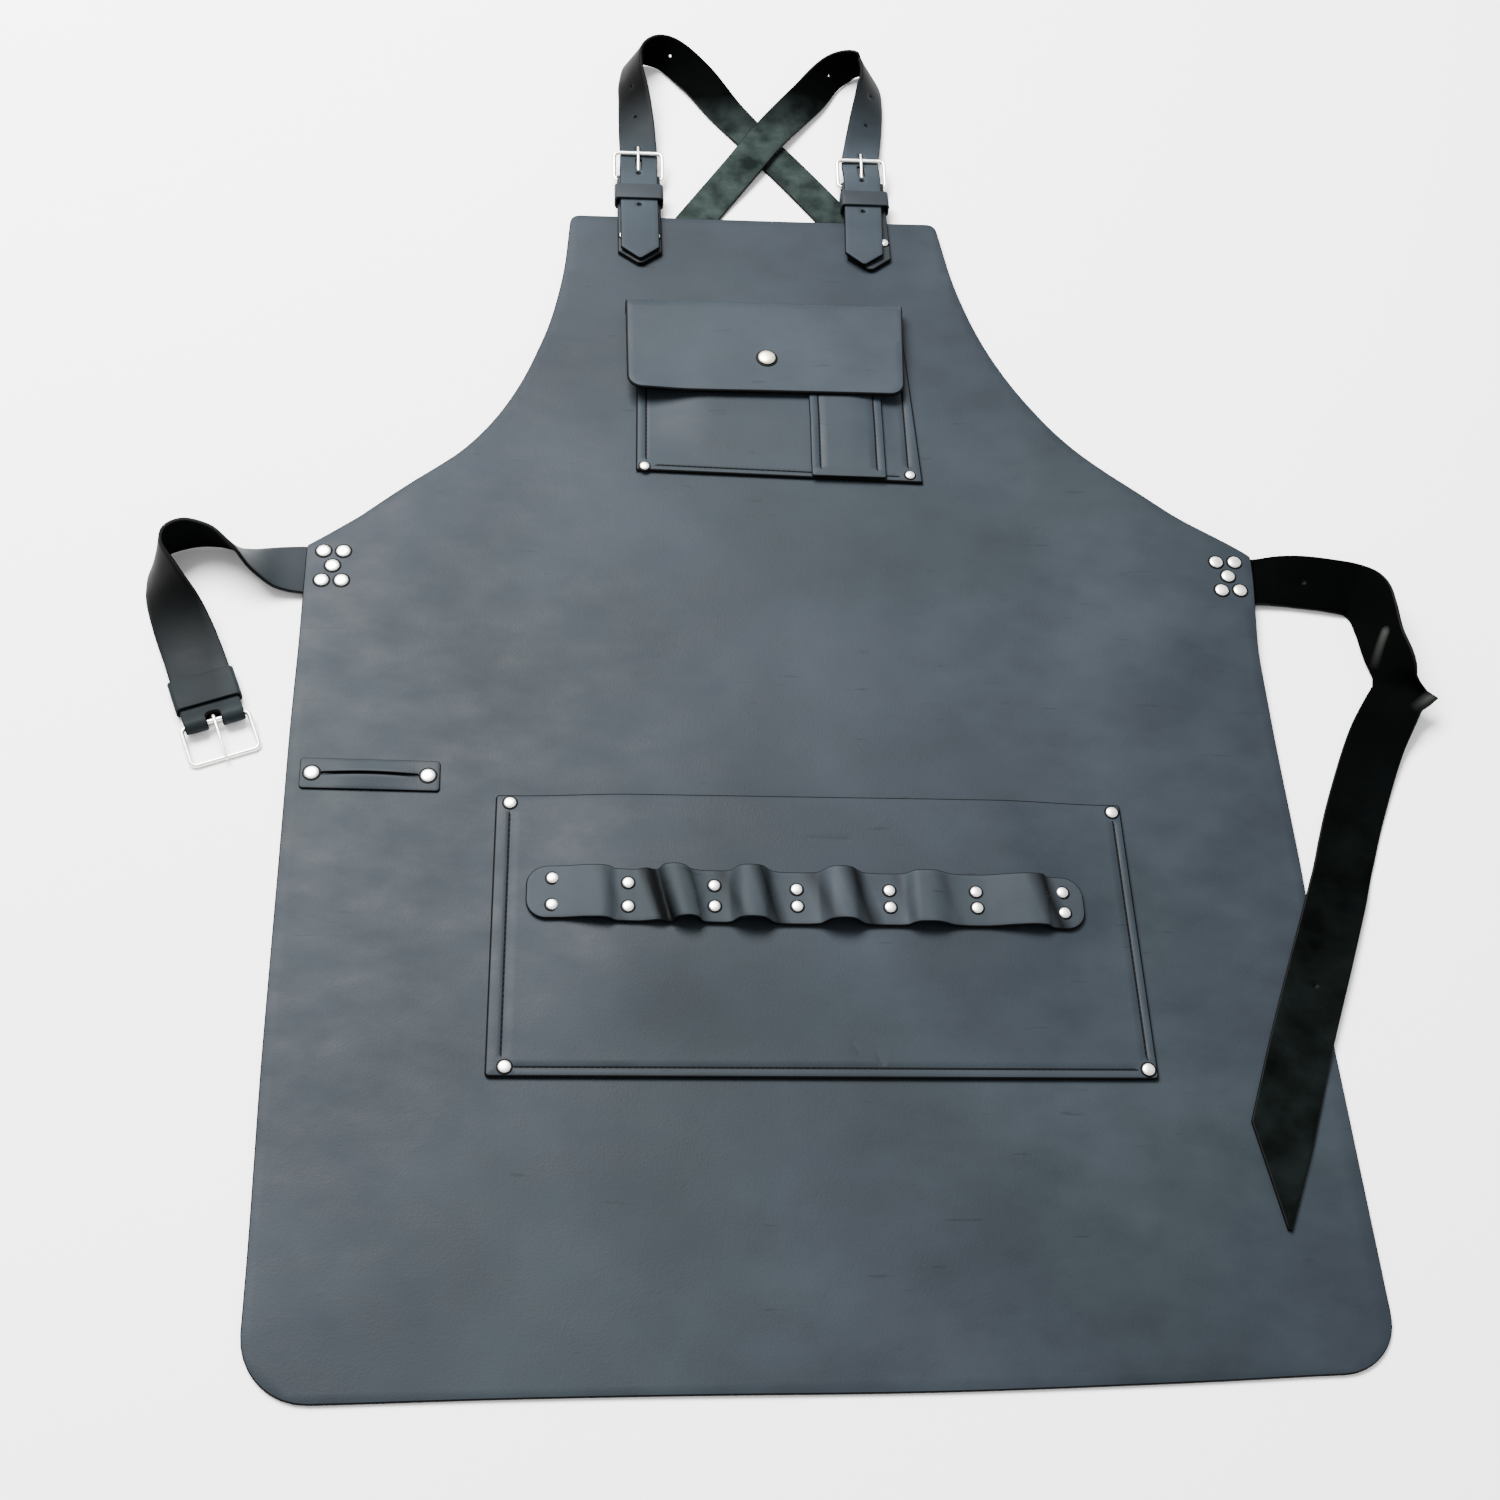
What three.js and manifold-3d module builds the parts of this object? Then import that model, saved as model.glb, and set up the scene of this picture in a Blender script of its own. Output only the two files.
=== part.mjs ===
// Leather work apron lying on a floor, in millimetres: +X to its right, +Y towards the bib, +Z up.
// Sizes are measured from the middle of the waist, and the group is moved to its own middle at the end.
import * as THREE from "three";
import { mergeVertices } from "three/addons/utils/BufferGeometryUtils.js";
import Module from "manifold-3d";

const wasm = await Module();
wasm.setup();

// Middle of the whole apron, straps included, seen from the middle of the waist
const MIDDLE_X = 4.02;
const MIDDLE_Y = -11.34;

// Gap between pieces that touch
const GAP = 0.4;

// Body sheet
const HALF_WIDTH = 320;
const BODY_THICK = 2.4;
const HEM_Y = -542;
const HEM_RADIUS = 34;
const BIB_TOP_Y = 336;
const BIB_RADIUS = 7;
const BIB_LEAN = -6;
const ARMHOLE = table(["half", "y"], [
  [320, 21],
  [262, 70],
  [218, 110],
  [188, 152],
  [162, 210],
  [147, 271],
  [140, 329],
]);
const BODY_COLUMNS = [0.25, 0.5, 0.7, 0.79, 0.86, 0.93, 1];
const SKIRT_ROW_Y = -300;
const WAIST_ROWS_Y = [-24, -8, 8];

// The right waist corner flares out, most at the foot of the armhole
const FLARE = { width: 8, fromY: -70, fullY: 21, toY: 60 };

// Straps
const STRAP_THICK = 2.6;
const SHOULDER_WIDTH = 29;
const SHOULDER_X = 87;
const SHOULDER_TIP = 16;
const WAIST_WIDTH = 38;
const WAIST_TIP = 58;
const WAIST_TIP_ACROSS = -0.8;
const TIP_BLUNT = 0.06;
const ROUND_BLUNT = 0.4;

// Lift of the body over the straps that run under the bib, and over the strap ends at its waist corners
const BIB_LIFT = STRAP_THICK + GAP;
const CORNER_LIFT = STRAP_THICK + 2 * GAP;
const LIFT_FROM_Y = -130;
const LIFT_TO_Y = -40;
const CORNER_FROM_X = 222;
const CORNER_TO_X = 272;
const CORNER_FROM_Y = -90;
const CORNER_TO_Y = -38;

// Pockets: flat where they are sewn, and puffed in the middle
const PANEL_THICK = 1.8;
const SEWN = 9;
const SLOPE = 26;
const PUFF = 4.4;
const BIB_POCKET = { width: 199, length: 148, x: 1.5, y: 157 };
const BIB_TURN = THREE.MathUtils.degToRad(-1.2);
const LOWER_POCKET = { width: 395, length: 188, x: 8, y: -269.5 };
const LOWER_TURN = THREE.MathUtils.degToRad(-0.9);

// Pen pocket, from the middle of the bib pocket
const PEN_POCKET = { left: 23.5, right: 76.5, bottom: -73, top: 39, thick: 1.6 };
const PEN_ROWS = [0, 0.12, 0.25, 0.4, 0.55, 0.7, 0.85, 1];

// Flap over the bib pocket, narrower on its right by its lower edge
const FLAP = { left: -105, right: 100, bottom: 153.5, top: 243, thick: 2, corner: 11, seam: 0.5, taper: 5 };
const FLAP_CLEAR = 1.4;
const SNAP = { x: -4, y: 186, diameter: 15, height: 2.6, sides: 16 };

// Tool strip: x of each pair of rivets, height of the loop that follows it, and spread of the pair
const STRIP = { left: -180, right: 164.5, y: 21, width: 36, thick: 2, corner: 13, flat: 6 };
const STRIP_RIVETS = table(["x", "loop", "spread"], [
  [-164, 7, 18],
  [-118.5, 12, 16],
  [-66, 14, 14],
  [-16, 14, 11.5],
  [41, 8, 11.5],
  [95, 7, 11],
  [150, 0, 14],
]);
const LOOP_STEPS = 8;
const LOOP_POWER = 1.4;

// Side tab with its slit
const TAB = { left: -313, right: -226, y: -156.5, width: 22, thick: 1.8, slit: 54, cut: 1.6, puff: 2.6 };
const TAB_RIVET_PAST_SLIT = 9;

// Height of a cutter that goes right through a sheet
const THROUGH = 40;

// Buckle tabs, keepers and buckles of the shoulder straps
const BUCKLE_TAB = { width: 33, thick: 1.6, foot: 291, round: 15, bar: 374, slot: 15 };
const TAB_BEND = { straight: 28, neck: 10 };
const ROUND_STEPS = [0, 0.2, 0.53, 1];
const STRAP_OVER_TAB = 13;
const KEEPER = { thick: 1.6, length: 15, y: 354.5, room: 1.2, corner: 2.4 };
const BUCKLE = { bar: 3, inside: 34, reach: 25, bevel: 0.6, low: 7.6, high: 12.5, corner: 4 };
const LEAST_CORNER = 0.6;
const PRONG = { width: 3, thick: 2, room: 0.5, sunk: 0.3, slotRoom: 2 };

// Prong past its bar: distance from the bar, share of its rise to the frame, and bow
const PRONG_ROWS = table(["y", "share", "bow"], [
  [9, 0, 0.2],
  [16, 0.5, 0.6],
  [22, 1, 0],
  [29, 1, -0.3],
]);
const WRAP = 2.4;

// Folded end of the left waist strap: the middle of its buckle's bar, and how far the strap turns to it
const WAIST_END = { x: -368, y: -119.5, z: 7, turn: THREE.MathUtils.degToRad(20), slot: 9, back: 55 };
const WAIST_SLOT_LENGTH = 16;
const FOLD_STEPS = [0.3, 0.65, 1];
const WAIST_KEEPER = { length: 22, back: 24 };
const WAIST_BUCKLE = { inside: 40, reach: 26, rest: 1.7 };

// Rivet caps
const CAP_HEIGHT = 1.5;
const CAP_SIDES = 10;
const CAP = { strip: 8.5, lower: 10, bib: 8, tab: 11, strap: 8, waist: 11 };
const CAP_PROFILE = table(["radius", "height"], [
  [0, 0],
  [0.92, 0],
  [1, 0.25],
  [0.72, 0.78],
  [0, 1],
]);
const WAIST_RIVETS = { left: -302, right: 309, y: 2, across: 13, along: 24 };
const FIVE = table(["u", "v"], [
  [-1, 1],
  [1, 1],
  [0, 0],
  [-1, -1],
  [1, -1],
]);
const STRAP_RIVETS = { y: 313, apart: 24 };
const POCKET_INSET = 6;

// Straps as rows: middle line, then the way across to the edge on the right of someone who walks along it.
const ROW = ["x", "y", "z", "ax", "ay", "az"];
const SHOULDER_LEFT = table(ROW, [
  [-91, 287, 11.2, 1, 0, 0],
  [-91, 310, 13, 1, 0, 0],
  [-92, 345, 12.6, 1, 0, 0],
  [-93, 378, 13.1, 1, 0, 0],
  [-92.5, 399, 9, 1, 0, 0],
  [-93, 416, 8.4, 1, 0, 0.15],
  [-94, 440, 10.2, 0.92, 0, 0.4],
  [-95.5, 463, 13.2, 0.78, 0, 0.62],
  [-97.5, 486, 15.6, 0.6, -0.1, 0.8],
  [-93, 508, 16.2, 0.42, -0.2, 0.88],
  [-72, 514, 15, 0.3, 0.25, 0.9],
  [-49, 493, 9.4, 0.65, 0.6, 0.45],
  [-24, 458, 3.4, 0.82, 0.55, 0.12],
  [-4, 431, 1.6, 0.82, 0.57, 0],
  [18, 401, 1.3, 0.82, 0.57, 0],
  [50, 358, 1.3, 0.82, 0.57, 0],
  [105, 272, 1.3, 0.86, 0.5, 0],
  [134, 210, 1.3, 0.89, 0.45, 0],
  [160, 155, 1.3, 0.86, 0.5, 0],
  [190, 110, 1.3, 0.78, 0.62, 0],
  [299, -8, 1.3, 0.74, 0.67, 0],
]);
const SHOULDER_RIGHT = table(ROW, [
  [76, 287, 11.2, 1, -0.1, 0],
  [77, 310, 13, 1, -0.06, 0],
  [79, 345, 12.6, 1, -0.03, 0],
  [80.5, 378, 13.1, 1, 0, 0],
  [81, 399, 9, 1, 0, 0],
  [84, 416, 8.4, 1, 0, -0.15],
  [89, 444, 10.6, 0.92, 0, -0.4],
  [93, 468, 13.6, 0.78, 0, -0.62],
  [95, 489, 15.6, 0.6, 0.1, -0.8],
  [89, 506, 16, 0.42, 0.2, -0.88],
  [68, 500, 14.4, 0.38, -0.3, -0.87],
  [44, 472, 9.6, 0.7, -0.5, -0.4],
  [12, 431, 7.4, 0.8, -0.55, -0.08],
  [-11, 396, 5.6, 0.83, -0.55, 0],
  [-41, 352, 1.6, 0.86, -0.5, 0],
  [-64, 316, 1.3, 0.85, -0.52, 0],
  [-107, 250, 1.3, 0.87, -0.5, 0],
  [-138, 202, 1.3, 0.88, -0.48, 0],
  [-163, 155, 1.3, 0.86, -0.5, 0],
  [-192, 110, 1.3, 0.78, -0.62, 0],
  [-299, -8, 1.3, 0.74, -0.67, 0],
]);
const WAIST_LEFT = table(ROW, [
  [-281, 0, 4.5, 0, 1, 0],
  [-320, 0, 4.6, 0, 1, 0],
  [-338, 1, 6.4, -0.1, 1, -0.15],
  [-353, 4, 11.4, 0, 0.8, -0.55],
  [-364, 9, 16, 0, 0.55, -0.85],
  [-378, 16, 19, 0, 0.3, -0.95],
  [-394, 18, 19.6, 0, 0.15, -1],
  [-407, 11, 19.6, -0.15, 0.1, -1],
  [-411, -1, 18.8, -0.3, 0, -0.95],
  [-407, -18, 15.8, -0.6, 0, -0.7],
  [-396, -44, 9, -0.85, -0.25, -0.35],
  [-382, -80, 6.4, -0.93, -0.36, 0],
  [-376.2, -96.9, 6.4, -0.94, -0.34, 0],
  [-372.1, -108.2, 6.5, -0.94, -0.34, 0],
]);
const WAIST_RIGHT = table(ROW, [
  [294, 0, 4.5, 0, -1, 0],
  [310, 0, 4.5, 0, -1, 0],
  [331, 0, 4.7, 0, -1, -0.02],
  [346, -1.8, 8.2, 0, -0.95, -0.3],
  [362, -4.5, 10.7, 0, -0.88, -0.475],
  [380, -6.9, 10.8, -0.1, -0.87, -0.48],
  [397, -10.8, 11.2, -0.37, -0.8, -0.48],
  [402, -22, 16, -0.46, -0.52, -0.72],
  [403.2, -37.4, 17.8, -0.45, -0.28, -0.85],
  [403.5, -61, 18.9, -0.4, 0.06, -0.915],
  [407.3, -79.9, 18, -0.45, 0.2, -0.87],
  [411.5, -91, 10.8, -0.83, 0.34, -0.44],
  [404, -104, 7.8, -0.82, 0.45, -0.34],
  [389, -129, 3.4, -0.87, 0.48, -0.1],
  [364, -182, 1.3, -0.92, 0.4, 0],
  [351, -213, 2.6, -0.92, 0.4, 0.06],
  [340, -240, 4.6, -0.92, 0.4, 0.06],
  [323, -280, 4.6, -0.92, 0.4, 0],
  [294, -348, 4.2, -0.92, 0.4, 0],
  [252, -454, 4.2, -0.94, 0.34, 0],
]);
const ROW_STEPS = 3;

// Materials
const GREY = leather("#545a61");
const DARK = leather("#2b3032");
const NICKEL = new THREE.MeshStandardMaterial({ color: "#d9d5cc", roughness: 0.25, metalness: 1 });

const apron = new THREE.Group();
const bibPocket = pocketGroup(BIB_POCKET, BIB_TURN);
const lowerPocket = pocketGroup(LOWER_POCKET, LOWER_TURN);

function pocketGroup(pocket, turn) {
  const group = new THREE.Group();
  group.position.set(pocket.x, pocket.y, 0);
  group.rotation.z = turn;
  apron.add(group);
  return group;
}

function leather(color) {
  return new THREE.MeshStandardMaterial({ color, roughness: 0.6, metalness: 0 });
}

function table(columns, rows) {
  return rows.map((row) => Object.fromEntries(columns.map((name, i) => [name, row[i]])));
}

function piece(name, geometry, material, group = apron) {
  const mesh = new THREE.Mesh(geometry, material);
  mesh.name = name;
  group.add(mesh);
  return mesh;
}

// Closed shapes and the cuts in them

function bare(geometry) {
  geometry.deleteAttribute("normal");
  geometry.deleteAttribute("uv");
  return mergeVertices(geometry, 1e-4);
}

function solid(geometry) {
  const merged = bare(geometry);
  const vertProperties = new Float32Array(merged.getAttribute("position").array);
  const triVerts = new Uint32Array(merged.index.array);
  return new wasm.Manifold(new wasm.Mesh({ numProp: 3, vertProperties, triVerts }));
}

function shapeOf(made) {
  const mesh = made.getMesh();
  const geometry = new THREE.BufferGeometry();
  geometry.setAttribute("position", new THREE.BufferAttribute(mesh.vertProperties, 3));
  geometry.setIndex(new THREE.BufferAttribute(mesh.triVerts, 1));
  geometry.computeVertexNormals();
  return geometry;
}

function cut(geometry, ...tools) {
  return shapeOf(tools.reduce((made, tool) => made.subtract(solid(tool)), solid(geometry)));
}

function join(first, second) {
  return shapeOf(solid(first).add(solid(second)));
}

// A box whose points are moved by place(u, v, w), each from 0 to 1 across, along and through it
function bentBox(across, along, place) {
  const box = new THREE.BoxGeometry(1, 1, 1, across, along, 1);
  const spots = box.getAttribute("position");
  for (let i = 0; i < spots.count; i++) {
    const p = place(spots.getX(i) + 0.5, spots.getY(i) + 0.5, spots.getZ(i) + 0.5);
    spots.setXYZ(i, p.x, p.y, p.z);
  }
  const shape = bare(box);
  shape.computeVertexNormals();
  return shape;
}

function smooth(from, to, value) {
  return THREE.MathUtils.smoothstep(value, from, to);
}

function pick(list, fraction) {
  return list[Math.round(fraction * (list.length - 1))];
}

function spaced(from, to, steps) {
  return Array.from({ length: steps + 1 }, (_, i) => from + ((to - from) * i) / steps);
}

// Height of the body's underside
function lift(x, y) {
  const under = BIB_LIFT * smooth(LIFT_FROM_Y, LIFT_TO_Y, y);
  const corner = smooth(CORNER_FROM_X, CORNER_TO_X, Math.abs(x)) * smooth(CORNER_FROM_Y, CORNER_TO_Y, y);
  return under + CORNER_LIFT * corner;
}

function bodyTop(x, y) {
  return lift(x, y) + BODY_THICK;
}

// The bib lies a little to the left, most at its top.
function lean(y) {
  const foot = ARMHOLE[0].y;
  return BIB_LEAN * THREE.MathUtils.clamp((y - foot) / (BIB_TOP_Y - foot), 0, 1);
}

function flare(y) {
  const out = smooth(FLARE.fromY, FLARE.fullY, y) - smooth(FLARE.fullY, FLARE.toY, y);
  return FLARE.width * out;
}

// Rows of the body from the hem up, each with its half width
function bodyRows() {
  const rows = [];
  for (const turn of spaced(0, Math.PI / 2, 6)) {
    const y = HEM_Y + HEM_RADIUS * (1 - Math.cos(turn));
    rows.push({ y, half: HALF_WIDTH - HEM_RADIUS * (1 - Math.sin(turn)) });
  }
  for (const y of [SKIRT_ROW_Y, ...spaced(LIFT_FROM_Y, LIFT_TO_Y, 6), ...WAIST_ROWS_Y]) {
    rows.push({ y, half: HALF_WIDTH });
  }
  const armhole = new THREE.SplineCurve(ARMHOLE.map((p) => new THREE.Vector2(p.half, p.y)));
  rows.push(...armhole.getPoints(15).map((p) => ({ y: p.y, half: p.x })));
  const straight = ARMHOLE.at(-1);
  for (const turn of spaced(Math.PI / 8, Math.PI / 2, 3)) {
    const y = BIB_TOP_Y - BIB_RADIUS * (1 - Math.sin(turn));
    rows.push({ y, half: straight.half - BIB_RADIUS * (1 - Math.cos(turn)) });
  }
  return rows;
}

function body() {
  const rows = bodyRows();
  const columns = [...BODY_COLUMNS.map((f) => -f).reverse(), 0, ...BODY_COLUMNS];
  const shape = bentBox(columns.length - 1, rows.length - 1, (u, v, w) => {
    const row = pick(rows, v);
    const column = pick(columns, u);
    const half = row.half + (column > 0 ? flare(row.y) : 0);
    const x = half * column + lean(row.y);
    return { x, y: row.y, z: lift(x, row.y) + w * BODY_THICK };
  });
  piece("apron_body", shape, GREY);
}

// Rise of a pocket's panel above its sewn edges, with x and y from the pocket's middle
function puffed(pocket, x, y) {
  const fromSide = pocket.width / 2 - Math.abs(x) - SEWN;
  const fromBottom = y + pocket.length / 2 - SEWN;
  return PUFF * smooth(0, SLOPE, fromSide) * smooth(0, SLOPE, fromBottom);
}

function panelRows(size, open) {
  const near = [0, SEWN, SEWN + SLOPE / 4, SEWN + SLOPE / 2, SEWN + (3 * SLOPE) / 4, SEWN + SLOPE];
  const low = near.map((d) => d - size / 2);
  const high = open ? [size / 2] : near.map((d) => size / 2 - d).reverse();
  return [...low, 0, ...high];
}

function pocketPanel(pocket, base) {
  const columns = panelRows(pocket.width, false);
  const rows = panelRows(pocket.length, true);
  return bentBox(columns.length - 1, rows.length - 1, (u, v, w) => {
    const x = pick(columns, u);
    const y = pick(rows, v);
    return { x, y, z: base + puffed(pocket, x, y) + w * PANEL_THICK };
  });
}

const BIB_Z = BIB_LIFT + BODY_THICK + GAP;
const SKIRT_Z = BODY_THICK + GAP;

function bibPanelTop(x, y) {
  return BIB_Z + PANEL_THICK + puffed(BIB_POCKET, x, y);
}

function bibPanels() {
  piece("bib_pocket", pocketPanel(BIB_POCKET, BIB_Z), GREY, bibPocket);
  const shape = bentBox(8, PEN_ROWS.length - 1, (u, v, w) => {
    const x = THREE.MathUtils.lerp(PEN_POCKET.left, PEN_POCKET.right, u);
    const y = THREE.MathUtils.lerp(PEN_POCKET.bottom, PEN_POCKET.top, pick(PEN_ROWS, v));
    return { x, y, z: bibPanelTop(x, y) + 2 * GAP + w * PEN_POCKET.thick };
  });
  piece("pen_pocket", shape, GREY, bibPocket);
}

// The flap's seam lies on the body, rolls over and comes back down over the pocket.
const FLAP_Z = BIB_Z + PUFF + PANEL_THICK + PEN_POCKET.thick + FLAP_CLEAR;

function flapLine() {
  const low = BIB_Z + FLAP.thick / 2;
  const high = FLAP_Z + FLAP.thick / 2;
  const roll = (high - low) / 2;
  const rollY = FLAP.top - roll - FLAP.thick / 2;
  const line = [{ y: rollY - FLAP.seam, z: low }];
  for (const turn of spaced(-Math.PI / 2, Math.PI / 2, 10)) {
    line.push({ y: rollY + roll * Math.cos(turn), z: low + roll * (1 + Math.sin(turn)) });
  }
  const lowest = FLAP.bottom + FLAP.corner;
  line.push({ y: (rollY + lowest) / 2, z: high }, { y: lowest, z: high });
  for (const turn of spaced(Math.PI / 10, Math.PI / 2, 4)) {
    line.push({ y: lowest - FLAP.corner * Math.sin(turn), z: high });
  }
  return line;
}

function flap() {
  const line = flapLine();
  const shape = bentBox(2, line.length - 1, (u, v, w) => {
    const i = Math.round(v * (line.length - 1));
    const from = line[Math.max(i - 1, 0)];
    const to = line[Math.min(i + 1, line.length - 1)];
    const along = new THREE.Vector2(to.y - from.y, to.z - from.z).normalize();
    const deep = Math.max(FLAP.bottom + FLAP.corner - line[i].y, 0);
    const inset = FLAP.corner - Math.sqrt(FLAP.corner ** 2 - Math.min(deep, FLAP.corner) ** 2);
    const down = THREE.MathUtils.clamp((FLAP.top - line[i].y) / (FLAP.top - FLAP.bottom), 0, 1);
    const right = FLAP.right - inset - FLAP.taper * down;
    const x = THREE.MathUtils.lerp(right, FLAP.left + inset, u);
    const out = (w - 0.5) * FLAP.thick;
    return { x, y: line[i].y + along.y * out, z: line[i].z - along.x * out };
  });
  piece("pocket_flap", shape, GREY);
  piece("snap_cap", dome(SNAP.diameter, SNAP.height, SNAP.sides), NICKEL).position.set(
    SNAP.x,
    SNAP.y,
    FLAP_Z + FLAP.thick + GAP,
  );
}

function lowerPanelTop(x, y) {
  return SKIRT_Z + PANEL_THICK + puffed(LOWER_POCKET, x, y);
}

function loopRise(x) {
  for (let i = 0; i + 1 < STRIP_RIVETS.length; i++) {
    const from = STRIP_RIVETS[i].x + STRIP.flat;
    const to = STRIP_RIVETS[i + 1].x - STRIP.flat;
    if (x > from && x < to) {
      return STRIP_RIVETS[i].loop * Math.sin((Math.PI * (x - from)) / (to - from)) ** LOOP_POWER;
    }
  }
  return 0;
}

function stripColumns() {
  const columns = spaced(STRIP.left, STRIP.left + STRIP.corner, 4);
  for (const [i, rivet] of STRIP_RIVETS.entries()) {
    const from = rivet.x + STRIP.flat;
    const next = STRIP_RIVETS[i + 1];
    if (next) columns.push(...spaced(from, next.x - STRIP.flat, LOOP_STEPS));
  }
  return [...columns, ...spaced(STRIP.right - STRIP.corner, STRIP.right, 4)];
}

function toolStrip() {
  const columns = stripColumns();
  const shape = bentBox(columns.length - 1, 1, (u, v, w) => {
    const x = pick(columns, u);
    const fromEnd = Math.min(x - STRIP.left, STRIP.right - x, STRIP.corner);
    const inset = STRIP.corner - Math.sqrt(STRIP.corner ** 2 - (STRIP.corner - fromEnd) ** 2);
    const y = STRIP.y + (2 * v - 1) * (STRIP.width / 2 - inset);
    const z = lowerPanelTop(x, STRIP.y) + 2 * GAP + loopRise(x);
    return { x, y, z: z + w * STRIP.thick };
  });
  piece("tool_loop_strip", shape, GREY, lowerPocket);
}

function sideTab() {
  const length = TAB.right - TAB.left;
  const shape = bentBox(10, 6, (u, v, w) => {
    const inside = THREE.MathUtils.clamp(((u - 0.5) * length) / TAB.slit, -0.5, 0.5);
    const rise = TAB.puff * Math.cos(Math.PI * inside) * (1 - Math.abs(2 * v - 1));
    const z = SKIRT_Z + rise + w * TAB.thick;
    return { x: TAB.left + u * length, y: TAB.y + (v - 0.5) * TAB.width, z };
  });
  const slit = new THREE.BoxGeometry(TAB.slit, TAB.cut, THROUGH);
  slit.translate((TAB.left + TAB.right) / 2, TAB.y, 0);
  piece("side_tab", cut(shape, slit), GREY);
}

// How much of its width a strap has at a distance from its end
function endWidth(ends, distance) {
  if (ends.round) {
    const deep = Math.max(1 - distance / ends.round, 0);
    return Math.max(Math.sqrt(1 - deep ** 2), ROUND_BLUNT);
  }
  return ends.point ? Math.min(TIP_BLUNT + distance / ends.point, 1) : 1;
}

// A strap through rows. Its end is round, or pointed with the point at pointAcross from the middle.
function ribbon(rows, width, thick, ends = {}) {
  const middle = new THREE.CatmullRomCurve3(rows.map((r) => new THREE.Vector3(r.x, r.y, r.z)));
  const way = new THREE.CatmullRomCurve3(rows.map((r) => new THREE.Vector3(r.ax, r.ay, r.az)));
  const steps = (rows.length - 1) * (ends.steps ?? ROW_STEPS);
  const spots = middle.getPoints(steps);
  const far = ends.at === "end" ? spots.at(-1) : spots[0];
  return bentBox(1, steps, (u, v, w) => {
    const i = Math.round(v * steps);
    const along = middle.getTangent(i / steps);
    const across = way.getPoint(i / steps);
    across.addScaledVector(along, -across.dot(along)).normalize();
    const up = across.clone().cross(along);
    const reach = endWidth(ends, spots[i].distanceTo(far));
    const tip = ends.pointAcross ?? 0;
    const side = tip + (2 * u - 1 - tip) * reach;
    const p = spots[i].clone();
    p.addScaledVector(across, (side * width) / 2).addScaledVector(up, (w - 0.5) * thick);
    return p.setZ(Math.max(p.z, 0));
  });
}

// A path in the plane of a strap's length and height, as rows of a ribbon at one x
function upright(x, path) {
  return path.map((p) => ({ x, y: p.y, z: p.z, ax: 1, ay: 0, az: 0 }));
}

function around(y, z, radius, from, to, steps) {
  return spaced(from, to, steps).map((t) => ({ y: y + radius * Math.cos(t), z: z + radius * Math.sin(t) }));
}

function buckleTab(name, x) {
  const low = BIB_Z + BUCKLE_TAB.thick / 2;
  const high = low + BUCKLE_TAB.thick + GAP;
  const radius = WRAP + BUCKLE_TAB.thick / 2;
  const straight = BUCKLE_TAB.bar - TAB_BEND.straight - BUCKLE_TAB.foot;
  const lengths = [...ROUND_STEPS.map((share) => share * BUCKLE_TAB.round), straight];
  const out = lengths.map((d) => ({ y: BUCKLE_TAB.foot + d, z: low }));
  const back = lengths.map((d) => ({ y: BUCKLE_TAB.foot + d, z: high })).reverse();
  const path = [
    ...out,
    { y: BUCKLE_TAB.bar - TAB_BEND.neck, z: low },
    ...around(BUCKLE_TAB.bar, BUCKLE.low, radius, -Math.PI / 2, Math.PI / 2, 6),
    { y: BUCKLE_TAB.bar - TAB_BEND.neck, z: high },
    ...back,
  ];
  const ends = { steps: 1, round: BUCKLE_TAB.round };
  const strip = ribbon(upright(x, path), BUCKLE_TAB.width, BUCKLE_TAB.thick, ends);
  const slot = new THREE.BoxGeometry(PRONG.width + PRONG.slotRoom, BUCKLE_TAB.slot, THROUGH);
  slot.translate(x, BUCKLE_TAB.bar, BUCKLE.low);
  piece(name, cut(strip, slot), DARK);
}

function roundedRectangle(path, width, height, radius) {
  const x = width / 2;
  const y = height / 2;
  path.moveTo(-x + radius, -y);
  path.lineTo(x - radius, -y);
  path.absarc(x - radius, -y + radius, radius, -Math.PI / 2, 0);
  path.absarc(x - radius, y - radius, radius, 0, Math.PI / 2);
  path.absarc(-x + radius, y - radius, radius, Math.PI / 2, Math.PI);
  path.absarc(-x + radius, -y + radius, radius, Math.PI, 1.5 * Math.PI);
  return path;
}

// A flat ring of leather or metal with its hole along Z
function ring(width, height, wall, radius, depth, bevel = 0) {
  const outline = new THREE.Shape();
  roundedRectangle(outline, width + 2 * wall - 2 * bevel, height + 2 * wall - 2 * bevel, radius);
  const hole = new THREE.Path();
  roundedRectangle(hole, width + 2 * bevel, height + 2 * bevel, Math.max(radius - wall, LEAST_CORNER));
  outline.holes.push(hole);
  const shape = new THREE.ExtrudeGeometry(outline, {
    depth: depth - 2 * bevel,
    curveSegments: 2,
    bevelEnabled: bevel > 0,
    bevelThickness: bevel,
    bevelSize: bevel,
    bevelSegments: 1,
  });
  return bare(shape.translate(0, 0, bevel - depth / 2));
}

function keeperRing(strapWidth, roomHeight, length) {
  return ring(strapWidth + KEEPER.room, roomHeight, KEEPER.thick, KEEPER.corner, length);
}

function strapKeeper(name, x) {
  const low = BIB_Z - GAP;
  const high = STRAP_OVER_TAB + STRAP_THICK / 2 + GAP;
  const keeper = piece(name, keeperRing(BUCKLE_TAB.width, high - low, KEEPER.length), DARK);
  keeper.position.set(x, KEEPER.y, (low + high) / 2);
  keeper.rotation.x = Math.PI / 2;
}

function buckleRing() {
  const open = BUCKLE.reach - BUCKLE.bar;
  return ring(BUCKLE.inside, open, BUCKLE.bar, BUCKLE.corner, BUCKLE.bar, BUCKLE.bevel);
}

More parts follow.
